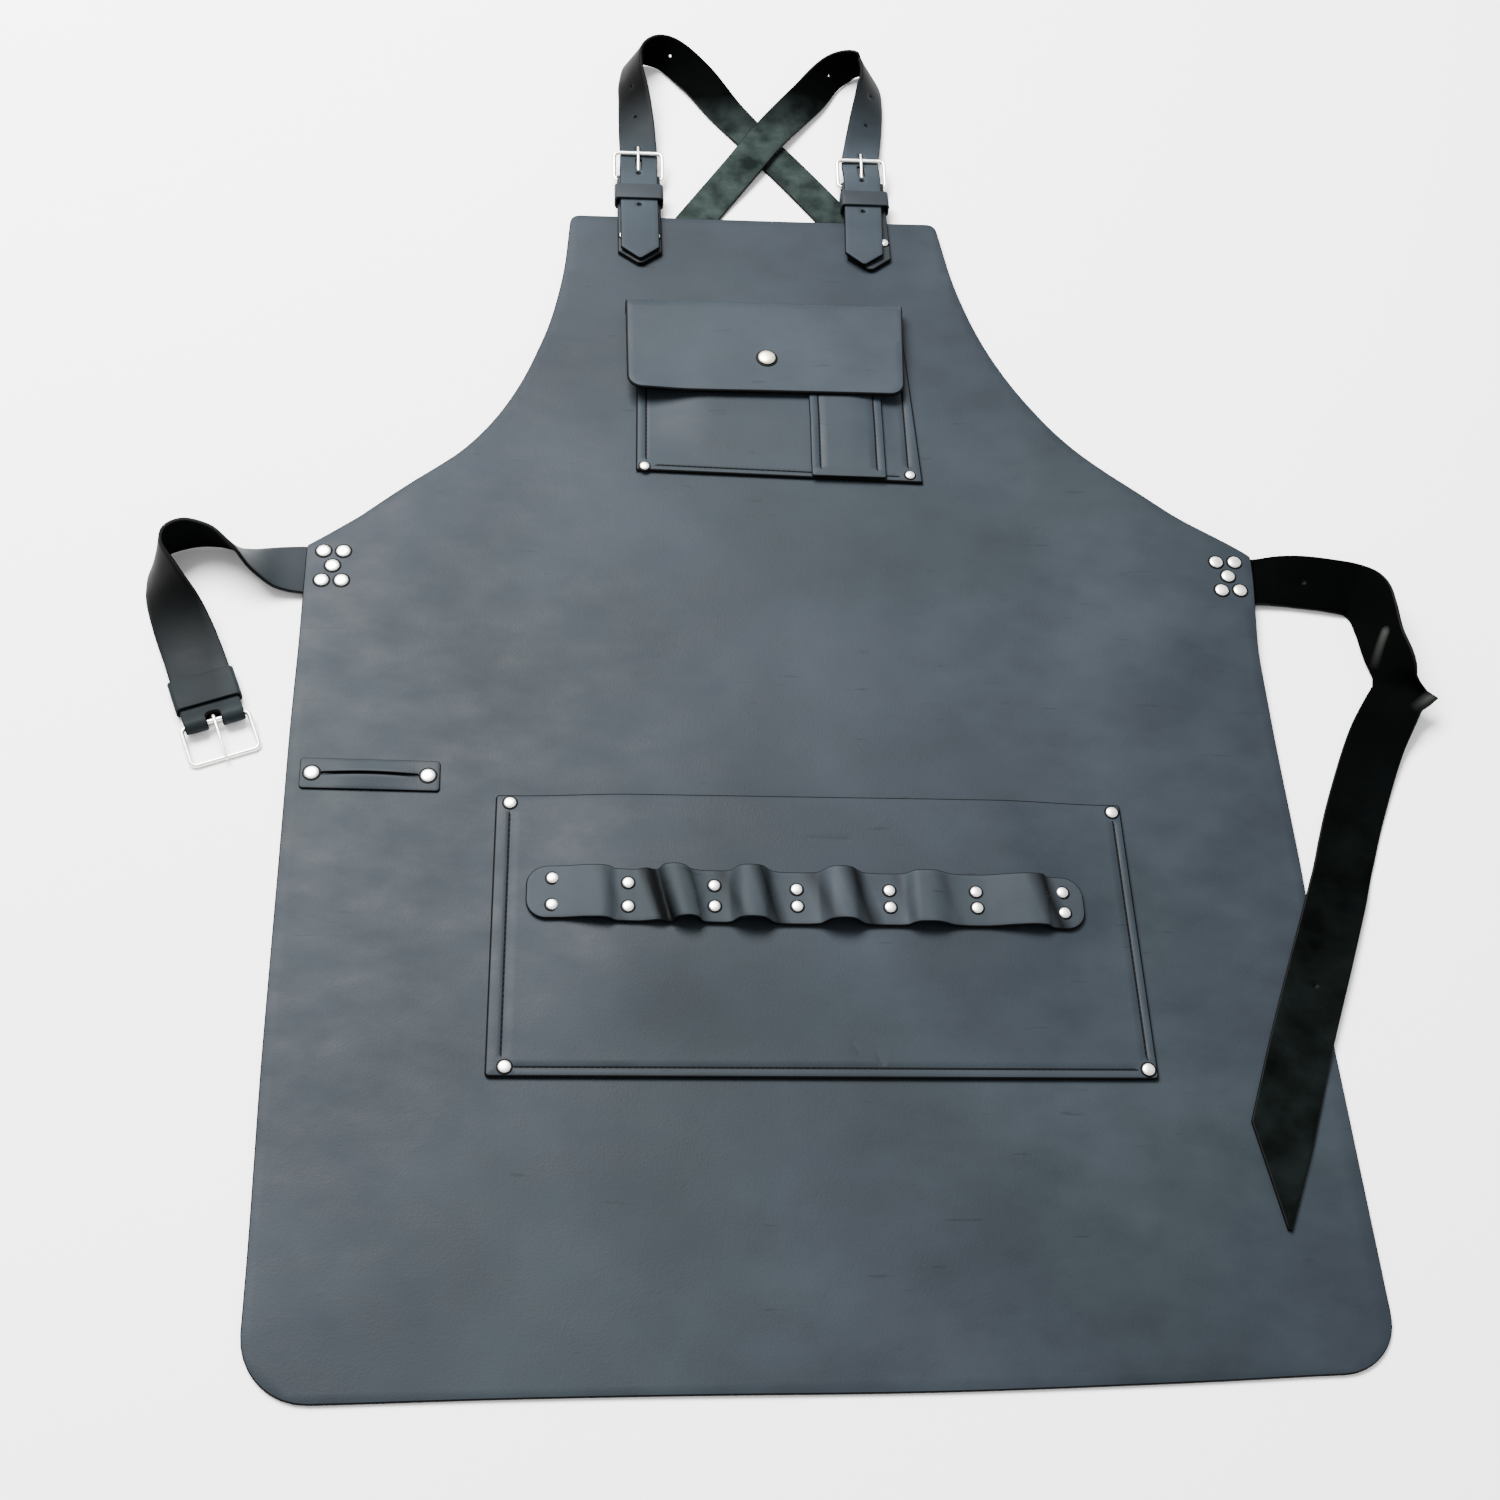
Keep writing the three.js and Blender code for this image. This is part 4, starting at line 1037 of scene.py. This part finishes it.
def body_outline():
    right, left = half_outline(HEM_RADIUS["right"]), half_outline(HEM_RADIUS["left"])
    y = right[:, 1]
    right[:, 0] += flare(y) - SIDE_IN["by"] * smooth(*SIDE_IN["y"], y)
    right[:, 0] += np.interp(y, *zip(*RIGHT_SHIFT)) * (y > ARMHOLE_FOOT)
    x, y = left.T
    x += SIDE_OUT["by"] * smooth(*SIDE_OUT["upper"], y) * smooth(*SIDE_OUT["lower"], y)
    x -= np.interp(y, *zip(*LEFT_SHIFT))
    y -= CORNER_LOW["by"] * smooth(*CORNER_LOW["x"], x) * smooth(*CORNER_LOW["y"], y)
    both = spaced_loop(np.vstack([right, left[::-1] * [-1, 1]]), BODY_CELL)
    x, y = both.T
    x += lean(y)
    y += hem_wave(x, y)
    y += TOP_RAISE["by"] * (1 + smooth(*TOP_RAISE["twice"], x)) * smooth(*TOP_RAISE["y"], y)
    return both


def body_place(x, y, h):
    return np.column_stack([x, y, lift(x, y) + BODY_THICK / 2 + relief(x, y) + h])


def apron_body():
    obj = plate("apron_sheet", body_outline(), body_place, BODY_THICK, BODY_CELL, GREY_SHEET)
    laid(obj, "apron_body")


# Pockets

def puffed(pocket, x, y):
    from_side = pocket["width"] / 2 - np.abs(x) - SEWN
    from_bottom = y + pocket["length"] / 2 - SEWN
    slope = pocket["slope"]
    return PUFF * smooth(0, slope, from_side) * smooth(0, slope, from_bottom)


def to_waist(pocket, x, y):
    """From a pocket's own middle to the middle of the waist."""
    c, s = math.cos(pocket["turn"]), math.sin(pocket["turn"])
    return pocket["x"] + c * x - s * y, pocket["y"] + s * x + c * y


def pocket_place(pocket, base, thick):
    def place(x, y, h):
        wx, wy = to_waist(pocket, x, y)
        return np.column_stack([wx, wy, base + puffed(pocket, x, y) + thick / 2 + h + relief(wx, wy)])

    return place


def stitches(name, seams, place, half):
    """Thread along seams, each stitch a short rounded bar lying in the groove."""
    points, faces = [], []
    rows, sides = len(STITCH_ROWS), STITCH["sides"]
    heights, sizes = np.array(STITCH_ROWS).T
    along = STITCH["start"] + np.linspace(0, STITCH["long"], rows)
    profile = np.array(circle(0, 0, STITCH["thick"] / 2, sides))
    for seam in seams:
        line = spaced_line(seam, STITCH["pitch"])
        for a, b in zip(line, line[1:]):
            x, y = (a + unit(b - a) * along[:, None]).T
            mid = place(x, y, np.full(rows, half - STITCH["sunk"]))
            mid[:, 2] += heights
            step = unit(np.gradient(mid, axis=0))
            side = unit(np.cross(step, [0, 0, 1.0]))
            up = np.cross(side, step)
            first = len(points)
            for k in range(rows):
                points += list(mid[k] + sizes[k] * (profile[:, :1] * side[k] + profile[:, 1:] * up[k]))
            faces += ring_faces(rows, sides, first) + end_faces(rows, sides, first)
    obj = new_object(name, np.array(points), faces, [THREAD])
    return obj


def sewn_panel(node, outline, place, thick, cell, mats, seams, creases=()):
    """A pocket's panel with thread along its seams."""
    name = node + "_panel"
    obj = plate(name, outline, place, thick, cell, mats, seams=seams, creases=creases, edge=thick * ROUND)
    thread = stitches(node + "_thread", seams, place, thick / 2)
    laid(obj, node)


def side_seams(left, right, low, high):
    return [[(x, high), (x, low)] for x in (left, right)]


def bib_pocket():
    wide, long = BIB_POCKET["width"] / 2, BIB_POCKET["length"] / 2
    low, end = POCKET_INSET + SEAM_PAST_RIVET - long, wide - SEAM_IN - SEAM_PAST_RIVET
    seams = side_seams(SEAM_IN - wide, wide - SEAM_IN, low, long - BIB_SEAM_TOP)
    seams.append([(-end, SEAM_LOW + SLANT - long), (end, SEAM_LOW - long)])
    outline = [(-wide, SLANT - long), (wide + SLANT, -long), (wide - SLANT, long), (-wide, long)]
    place = pocket_place(BIB_POCKET, BIB_Z, PANEL_THICK)
    cell = PANEL_CELLS["bib"]
    sewn_panel("bib_pocket", outline, place, PANEL_THICK, cell, PANEL_SHEET, seams)


def pen_pocket():
    left, right, bottom, top = (PEN[key] for key in ("left", "right", "bottom", "top"))
    low, high = bottom + PEN_SEAM["bottom"], top - PEN_SEAM["top"]
    seams = side_seams(left + PEN_SEAM["in"], right - PEN_SEAM["in"], low, high)
    place = pocket_place(BIB_POCKET, BIB_Z + PANEL_THICK + 2 * GAP, PEN["thick"])
    outline = rounded(left, right, bottom, top, PEN["corner"])
    cell = PANEL_CELLS["pen"]
    sewn_panel("pen_pocket", outline, place, PEN["thick"], cell, PANEL_SHEET, seams)


def lower_pocket():
    wide, long = LOWER_POCKET["width"] / 2, LOWER_POCKET["length"] / 2
    x, y = wide - POCKET_INSET, long - POCKET_INSET
    seams = side_seams(-x, x, SEAM_PAST_RIVET - y, y - SEAM_PAST_RIVET)
    seams.append([(way * (x - SEAM_PAST_RIVET), LOWER_SEAM_LOW - long) for way in (-1, 1)])
    place = pocket_place(LOWER_POCKET, SKIRT_Z, PANEL_THICK)
    outline = rounded(-wide - WIDE_LEFT, wide, -long, long, LOWER_CORNER)
    cell = PANEL_CELLS["lower"]
    sewn_panel("lower_pocket", outline, place, PANEL_THICK, cell, GREY_SHEET, seams, CREASES)


# Flap, tool strip and side tab

def flap_path():
    low, high = BIB_Z + FLAP["thick"] / 2, FLAP_Z + FLAP["thick"] / 2
    roll = (high - low) / 2
    y = FLAP["top"] - roll - FLAP["thick"] / 2
    line = [(y - FLAP["seam"], low)] + arc(y, low + roll, roll, -QUARTER, QUARTER, STEPS["roll"])
    line += [(v, high) for v in np.linspace(y, FLAP["bottom"], POINTS["flap"])[1:]]
    x = (FLAP["left"] + FLAP["right"]) / 2
    return Path([(x, y, z) for y, z in line], (-1, 0, 0))


def pocket_flap():
    path = flap_path()
    half = (FLAP["right"] - FLAP["left"]) / 2
    r, end, slim = FLAP_CORNER, path.length, half - FLAP_TAPER
    outline = [(-half, 0), (half, 0)] + arc(half - r, end - r, r, 0, QUARTER, STEPS["flap"])
    outline += arc(r - slim, end - r, r, QUARTER, 2 * QUARTER, STEPS["flap"])
    outline.append((-half, end - FLAP["top"] + FLAP["bottom"]))

    def place(c, s, h):
        out = path.at(c, s, h)
        swell = rough(out[:, 0], out[:, 1], FLAP_SWELL["wide"], FLAP_SWELL["seed"])
        out[:, 2] += FLAP_SWELL["height"] * swell * smooth(*FLAP_SWELL["along"], s)
        curl = smooth(half - FLAP_CURL["wide"], half, c) * smooth(end - FLAP_CURL["long"], end, s)
        out[:, 2] += FLAP_CURL["up"] * curl
        return out

    thick = FLAP["thick"]
    obj = plate("flap_panel", outline, place, thick, PANEL_CELLS["flap"], FLAP_SHEET, edge=thick * ROUND)
    laid(obj, "pocket_flap")


def strip_y(x):
    bent = STRIP_BENT["rise"] * smooth(STRIP_BENT["from"], STRIP_BENT["to"], x)
    return STRIP["y"] + bent - STRIP_SAG["drop"] * smooth(STRIP_SAG["from"], STRIP_SAG["to"], x)


def loop_rise(x):
    out = np.zeros(len(x))
    for (a, _), (b, _), rows in zip(STRIP_RIVETS, STRIP_RIVETS[1:], STRIP_LOOPS):
        low, high = a + STRIP["flat"], b - STRIP["flat"]
        at, rise = catmull(rows, np.linspace(0, 1, POINTS["loop"])).T
        on = (x > low) & (x < high)
        out[on] = np.interp((x[on] - low) / (high - low), at, np.maximum(rise, 0))
    return out


def tool_loop_strip():
    x = np.linspace(STRIP["left"], STRIP["right"], POINTS["strip"])
    y = strip_y(x)
    z = STRIP_Z + STRIP["thick"] / 2 + puffed(LOWER_POCKET, x, y) + loop_rise(x)
    z += relief(*to_waist(LOWER_POCKET, x, y))
    path = Path(np.column_stack([x, y, z]), (0, -1, 0))
    half = STRIP["width"] / 2
    outline = rounded(-half, half, 0, path.length, STRIP["corner"], STEPS["strip"])

    def place(c, s, h):
        along = np.interp(s, path.s, path.p[:, 0])
        share = (along - SKEW["from"]) / (SKEW["to"] - SKEW["from"])
        shift = SKEW["share"] * c * smooth(*SKEW["comes"], share) * smooth(*SKEW["goes"], share)
        p = path.at(c, s - shift, h)
        wx, wy = to_waist(LOWER_POCKET, p[:, 0] + shift, p[:, 1])
        return np.column_stack([wx, wy, p[:, 2]])

    obj = plate("tool_strip", outline, place, STRIP["thick"], STRIP_CELL, STRIP_SHEET, edge=STRIP_EDGE)
    laid(obj, "tool_loop_strip")


def tab_slope(x):
    return (x - TAB["left"]) * math.tan(TAB_TURN)


def side_tab():
    mid, y0, half = (TAB["left"] + TAB["right"]) / 2, TAB["y"], TAB["width"] / 2

    def place(x, y, h):
        part = np.clip((x - mid) / TAB_SLIT["long"], -0.5, 0.5)
        rise = TAB_SLIT["puff"] * np.cos(math.pi * part) * (1 - np.abs((y - y0) / half))
        y = y + tab_slope(x)
        return np.column_stack([x, y, SKIRT_Z + rise + TAB["thick"] / 2 + h + relief(x, y)])

    long, cut = TAB_SLIT["long"] / 2, TAB_SLIT["wide"] / 2
    slit = rounded(mid - long, mid + long, y0 - cut, y0 + cut, cut * TAB_SLIT["round"], STEPS["slit"])
    slits = [spaced_loop(slit, SLOT_STEP["strap"])]
    outline = rounded(TAB["left"], TAB["right"], y0 - half, y0 + half, TAB["corner"])
    name, thick = "side_tab_panel", TAB["thick"]
    obj = plate(name, outline, place, thick, STRIP_CELL, GREY_SHEET, holes=slits, edge=TAB["edge"])
    laid(obj, "side_tab")


# Straps

def strap_outline(length, width, tip, tip_across, at_end):
    """Outline of a strap with one pointed end, as across and along."""
    half = width / 2
    far, other, way = (length, 0, -1) if at_end else (0, length, 1)
    base, blunt = far + way * tip, far + way * BLUNT["back"]
    point = tip_across * half
    loop = [(-half, other), (-half, base), (point - BLUNT["half"], blunt)]
    return loop + [(point + BLUNT["half"], blunt), (half, base), (half, other)]


def strap_piece(name, rows, outline_of, mats, slots=(), pits=(), bend=None):
    path = strap_path(rows)

    def place(c, s, h):
        points = path.at(c, s, h)
        return bend(points, c, s) if bend else points

    cuts = [spaced_loop(loop, SLOT_STEP["strap"]) for loop in slots]
    marks = [(0, s, HOLE) for s in pits]
    outline = outline_of(path.length)
    return plate(name, outline, place, STRAP_THICK, STRAP_CELL, mats, holes=cuts, pits=marks)


def shoulder_strap(side, rows):
    def outline_of(length):
        return strap_outline(length, SHOULDER_WIDTH, SHOULDER_TIP, 0.0, False)

    slots = [rounded(-HOLE, HOLE, *PRONG_SLOT, HOLE * SLOT_ROUND, STEPS["slit"])]
    slots += [circle(0, s, EYE, EYE_SIDES) for s in SHOULDER_EYES]
    node = "shoulder_strap_" + side
    obj = strap_piece(node + "_leather", rows, outline_of, SHOULDER_SHEETS[side], slots, SHOULDER_HOLES)
    laid(obj, node)


def waist_fold():
    """Rows of the left waist strap's end: round the buckle's bar, then back under the strap."""
    radius = WRAP + STRAP_THICK / 2
    x, y = math.sin(WAIST_END["turn"]), -math.cos(WAIST_END["turn"])
    spots = arc(0, WAIST_END["z"], radius, QUARTER, -QUARTER, STEPS["fold"])
    spots += [(-part * WAIST_END["back"], WAIST_END["z"] - radius) for part in WAIST_BACK_PARTS]
    return [(WAIST_END["x"] + out * x, WAIST_END["y"] + out * y, z, y, -x, 0) for out, z in spots]


def waist_strap_left():
    fold = waist_fold()
    rows = WAIST_LEFT + fold
    s = strap_path(rows).nearest(fold[STEPS["fold"] // 2][:3])
    half, reach = WAIST_SLOT["half"], WAIST_SLOT["reach"]
    slot = rounded(-half, half, s - reach, s + reach, half * SLOT_ROUND, STEPS["wrap"])

    def outline_of(length):
        return rounded(-WAIST_WIDTH / 2, WAIST_WIDTH / 2, 0, length, WAIST_END["corner"])

    obj = strap_piece("waist_strap_left_leather", rows, outline_of, WAIST_SHEET, [slot])
    laid(obj, "waist_strap_left")


def curled(points, c, s):
    lip = smooth(CURL_FROM, -WAIST_WIDTH / 2, c)
    for at, wide, push in CURL:
        points[:, :2] += (lip * bell(s, at, wide))[:, None] * np.array(push, float)
    return points


def waist_strap_right():
    def outline_of(length):
        return strap_outline(length, WAIST_WIDTH, WAIST_TIP, WAIST_TIP_ACROSS, True)

    name = "waist_strap_right_leather"
    obj = strap_piece(name, WAIST_RIGHT, outline_of, TURNED_SHEET, pits=WAIST_PITS, bend=curled)
    laid(obj, "waist_strap_right")


# Buckles, keepers and tabs

def keeper(node, width, low, high, length, centre, turn, mat, on):
    """A closed leather loop between two heights, with its hole along Y, turned about Z."""
    thick, name = KEEPER["thick"], node + "_leather"
    x, z = (width + KEEPER["room"] + thick) / 2, (high - low + thick) / 2
    loop = np.array(rounded(-x, x, -z, z, KEEPER["corner"], STEPS["wire"]))
    c, s = math.cos(turn), math.sin(turn)
    line = [(centre[0] + c * u, centre[1] + s * u, (low + high) / 2 + v) for u, v in loop]
    around = float(np.sum(np.linalg.norm(np.roll(loop, -1, axis=0) - loop, axis=1)))
    CUTS[name] = (length, around), length * around
    profile = rounded(-length / 2, length / 2, -thick / 2, thick / 2, KEEPER["edge"], STEPS["edge"])
    obj = sweep(name, line, (-s, c, 0), profile, mat, closed=True)
    laid(obj, node)


def buckle_frame(node, inside_width, reach, centre, tilt, turn):
    """A wire frame tilted about its own X, then turned about Z."""
    bar = BUCKLE["bar"]
    x, y = (inside_width + bar) / 2, reach / 2
    m = np.array(Matrix.Rotation(turn, 3, "Z") @ Matrix.Rotation(tilt, 3, "X"))
    loop = np.array(rounded(-x, x, -y, y, BUCKLE["corner"], STEPS["wire"])) @ m[:, :2].T + np.array(centre)
    obj = sweep(node + "_wire", loop, m[:, 2], circle(0, 0, bar / 2, WIRE_SIDES), NICKEL, closed=True)
    stands_for(obj, node)


def buckle_tab(side, x):
    thick, bar, half = BUCKLE_TAB["thick"], BUCKLE_TAB["bar"], BUCKLE_TAB["width"] / 2
    low = BIB_Z + thick / 2
    radius = WRAP + thick / 2
    along = [BUCKLE_TAB["foot"]] + [bar - back for back in BUCKLE_TAB_LIES]
    line = [(y, low) for y in along] + arc(bar, BUCKLE["low"], radius, -QUARTER, QUARTER, STEPS["wrap"])
    line += [(y, low + thick + GAP) for y in along[::-1]]
    path = Path(catmull([(x, y, z) for y, z in line], np.linspace(0, 1, POINTS["tab"])), (1, 0, 0))
    middle = path.nearest((x, bar + radius, BUCKLE["low"]))
    wide, reach = BUCKLE_TAB_SLOT["half"], BUCKLE_TAB_SLOT["reach"]
    slot = rounded(-wide, wide, middle - reach, middle + reach, BUCKLE_TAB_SLOT["corner"])
    point, blunt, end = BUCKLE_TAB["point"], BUCKLE_TAB["blunt"], path.length
    outline = [(-half, point), (-blunt, 0), (blunt, 0), (half, point)]
    outline += [(-c, end - s) for c, s in outline]
    slots, name = [spaced_loop(slot, SLOT_STEP["tab"])], "buckle_tab_" + side + "_leather"
    obj = plate(name, outline, path.at, thick, TAB_CELL, TAB_SHEET, holes=slots)
    laid(obj, "buckle_tab_" + side)


def buckle_prong(side, x):
    radius = WRAP + PRONG["thick"] / 2
    bar, low = BUCKLE_TAB["bar"], BUCKLE["low"]
    top = low + radius
    rest = BUCKLE["high"] + BUCKLE["bar"] / 2 + GAP + PRONG["thick"] / 2
    line = arc(bar, low, radius, 2 * QUARTER, QUARTER, PRONG["steps"])
    line += [(bar + past, top + share * (rest - top) + more) for past, share, more in PRONG_ROWS]
    part = np.linspace(0, 1, POINTS["prong"])
    spots = catmull([(x, y, z) for y, z in line], part)
    size = np.interp(part, *zip(*PRONG_TAPER))
    node, profile = "buckle_prong_" + side, circle(0, 0, PRONG["radius"], WIRE_SIDES)
    obj = sweep(node + "_wire", spots, (1, 0, 0), profile, NICKEL, size=size)
    stands_for(obj, node)


def shoulder_buckle(side, x):
    buckle_tab(side, x)
    low, high = BIB_Z - GAP, KEEPER["strap_z"] + STRAP_THICK / 2 + GAP
    node, width, centre = "strap_keeper_" + side, BUCKLE_TAB["width"], (x, KEEPER["y"])
    keeper(node, width, low, high, KEEPER["length"], centre, 0.0, DARK, "apron_sheet")
    reach, low, high = BUCKLE["reach"], BUCKLE["low"], BUCKLE["high"]
    centre = (x, BUCKLE_TAB["bar"] + reach / 2, (low + high) / 2)
    tilt = math.asin((high - low) / reach)
    buckle_frame("buckle_frame_" + side, BUCKLE["inside"], reach, centre, tilt, 0.0)
    buckle_prong(side, x)


def waist_buckle():
    turn = WAIST_END["turn"]
    back = np.array([-math.sin(turn), math.cos(turn), 0])
    bar = np.array([WAIST_END["x"], WAIST_END["y"], WAIST_END["z"]])
    low, high = KEEPER["thick"], WAIST_LEFT[-1][2] + STRAP_THICK / 2 + 2 * GAP
    centre = bar + back * WAIST_KEEPER["back"]
    length, on = WAIST_KEEPER["length"], "waist_strap_left_leather"
    keeper("waist_keeper", WAIST_WIDTH, low, high, length, centre, turn, WAIST_DARK, on)
    reach, drop = WAIST_BUCKLE["reach"], WAIST_END["z"] - WAIST_BUCKLE["rest"]
    centre = bar - back * reach / 2 - [0, 0, drop / 2]
    buckle_frame("waist_buckle", WAIST_BUCKLE["inside"], reach, centre, math.asin(drop / reach), turn)
    above = np.array([0, 0, WAIST_PRONG["above"]])
    start = bar + above
    end = start - back * (reach + WAIST_PRONG["past"]) - [0, 0, drop]
    part = np.linspace(0, 1, WAIST_PRONG["points"])
    line = start + (end - start) * part[:, None]
    line[:, 2] += WAIST_PRONG["bow"] * np.sin(math.pi * part)
    turns = np.linspace(WAIST_HOOK["from"], WAIST_HOOK["to"], POINTS["hook"])
    hook = [start + back * WAIST_HOOK["back"] * math.sin(t) - above * (1 - math.cos(t)) for t in turns]
    line = np.vstack([hook, line])
    size = np.linspace(1, WAIST_PRONG["tip"], len(line))
    profile, across = circle(0, 0, WAIST_PRONG["radius"], WIRE_SIDES), np.cross(back, [0, 0, 1])
    sweep("waist_buckle_prong", line, across, profile, NICKEL, size=size)


# Rivets and snap

def cap(name, node, place, diameter, height, metal):
    """A cap with a ring of painted shade round its foot on the leather."""
    r, high = diameter / 2 * DOME, SHADE_RING["high"]
    profile = [(diameter / 2 + SHADE_RING["past"], 0), (diameter / 2, high), (r * SHADE_RING["under"], high)]
    profile += [(a * r, high + b * height) for a, b in CAP_ROWS]
    stands_for(lathe(name, profile, place, [metal, CUT], SHADE_RING["rows"]), node)


def rivet(node, x, y, z, kind):
    cap(node + "_cap", node, (x, y, z + CAP_CLEAR), CAP[kind], CAP_HEIGHT, NICKEL)


def ground(x, y):
    return float(relief([x], [y])[0])


def waist_rivets(side):
    five = [(-1, 1), (1, 1), (0, 0), (-1, -1), (1, -1)]
    for i, (u, v) in enumerate(five):
        x = WAIST_RIVETS[side][0] + u * WAIST_RIVETS["across"] / 2
        y = WAIST_RIVETS[side][1] + v * WAIST_RIVETS["along"] / 2
        z = float(lift(x, y)) + BODY_THICK + ground(x, y)
        rivet(f"waist_rivet_{side}_{i + 1}", x, y, z, "waist")


def strip_rivets():
    for i, (x, apart) in enumerate(STRIP_RIVETS):
        rise = float(puffed(LOWER_POCKET, x, STRIP["y"]))
        for row, sign in (("upper", 1), ("lower", -1)):
            wx, wy = to_waist(LOWER_POCKET, x, float(strip_y(x)) + sign * apart / 2)
            z = STRIP_Z + rise + STRIP["thick"] + ground(wx, wy)
            rivet(f"strip_rivet_{row}_{i + 1}", wx, wy, z, "strip")


def side_rivets(side, sign):
    x, y = LOWER_POCKET["width"] / 2 - POCKET_INSET, LOWER_POCKET["length"] / 2 - POCKET_INSET
    for row, way in (("top", 1), ("low", -1)):
        inset = LOW_LEFT_IN if (side, row) == ("left", "low") else 0
        wx, wy = to_waist(LOWER_POCKET, sign * x + inset, way * y)
        rivet(f"pocket_rivet_{row}_{side}", wx, wy, SKIRT_Z + PANEL_THICK + ground(wx, wy), "lower")
    x, y = BIB_POCKET["width"] / 2 - POCKET_INSET, POCKET_INSET - BIB_POCKET["length"] / 2
    wx, wy = to_waist(BIB_POCKET, sign * x, y)
    rivet("bib_rivet_" + side, wx, wy, BIB_Z + PANEL_THICK + ground(wx, wy), "bib")
    x = (TAB["left"] + TAB["right"]) / 2 + sign * (TAB_SLIT["long"] / 2 + TAB_RIVET_PAST_SLIT)
    y = TAB["y"] + tab_slope(x)
    rivet("tab_rivet_" + side, x, y, SKIRT_Z + TAB["thick"] + ground(x, y), "tab")
    for edge, way in (("inner", -1), ("outer", 1)):
        x = BIB_LEAN + sign * (SHOULDER_X + way * STRAP_RIVETS["apart"] / 2)
        z = BIB_Z + 2 * BUCKLE_TAB["thick"] + GAP
        rivet(f"strap_rivet_{side}_{edge}", x, STRAP_RIVETS["y"], z, "strap")


# Stage, light and camera

FLOOR_HALF = 6
FLOOR_LOOK = {"Base Color": (0.93, 0.93, 0.93), "Roughness": 0.9, "Specular IOR Level": 0.1}
WORLD_STRENGTH = 1.15
KEY = {"place": (-0.95, 1.15, 2.3), "aim": (-0.05, 0, 0), "size": (2.0, 1.3), "watts": 430}
CAMERA_PLACE = (-152.9, -806.2, 1094.5)
CAMERA_RIGHT = (0.9954, -0.0457, 0.0844)
CAMERA_DOWN = (0.0051, -0.8529, -0.5221)
CAMERA_AHEAD = (0.0959, 0.5201, -0.8487)
CAMERA_LENS = 48
CAMERA_SENSOR = 36
CAMERA_CLIP = (0.05, 50)


def stage():
    mesh = bpy.data.meshes.new("floor")
    corners = [(-1, -1), (1, -1), (1, 1), (-1, 1)]
    mesh.from_pydata([(x * FLOOR_HALF, y * FLOOR_HALF, 0) for x, y in corners], [], [(0, 1, 2, 3)])
    mesh.materials.append(Material("floor").done(FLOOR_LOOK))
    linked("floor", mesh)
    world = bpy.data.worlds.new("studio")
    world.use_nodes = True
    background = world.node_tree.nodes["Background"].inputs
    background["Color"].default_value = (1, 1, 1, 1)
    background["Strength"].default_value = WORLD_STRENGTH
    bpy.context.scene.world = world


def key_light():
    data = bpy.data.lights.new("key", "AREA")
    data.shape = "RECTANGLE"
    data.size, data.size_y = KEY["size"]
    data.energy = KEY["watts"]
    obj = linked("key", data)
    obj.location = KEY["place"]
    obj.rotation_mode = "QUATERNION"
    obj.rotation_quaternion = (Vector(KEY["aim"]) - Vector(KEY["place"])).to_track_quat("-Z", "Y")


def camera():
    data = bpy.data.cameras.new("camera")
    data.lens, data.sensor_width, data.sensor_fit = CAMERA_LENS, CAMERA_SENSOR, "AUTO"
    data.clip_start, data.clip_end = CAMERA_CLIP
    obj = linked("camera", data)
    right, down, ahead = (Vector(v) for v in (CAMERA_RIGHT, CAMERA_DOWN, CAMERA_AHEAD))
    turn = Matrix((right, -down, -ahead)).transposed().to_4x4()
    place = (np.array(CAMERA_PLACE) - MIDDLE) * MM
    obj.matrix_world = Matrix.Translation(place) @ turn
    bpy.context.scene.camera = obj


# The whole apron

SIGNS = {"left": -1, "right": 1}

apron_body()
bib_pocket()
pen_pocket()
lower_pocket()
pocket_flap()
tool_loop_strip()
side_tab()
shoulder_strap("left", SHOULDER_LEFT)
shoulder_strap("right", SHOULDER_RIGHT)
waist_strap_left()
waist_strap_right()
for side, sign in SIGNS.items():
    shoulder_buckle(side, BIB_LEAN + sign * SHOULDER_X)
waist_buckle()
for side in SIGNS:
    waist_rivets(side)
strip_rivets()
for side, sign in SIGNS.items():
    side_rivets(side, sign)
snap_place = (SNAP["x"], SNAP["y"], FLAP_Z + FLAP["thick"] + SNAP["clear"])
cap("flap_snap_cap", "snap_cap", snap_place, SNAP["diameter"], SNAP["height"], SNAP_METAL)
stage()
key_light()
camera()
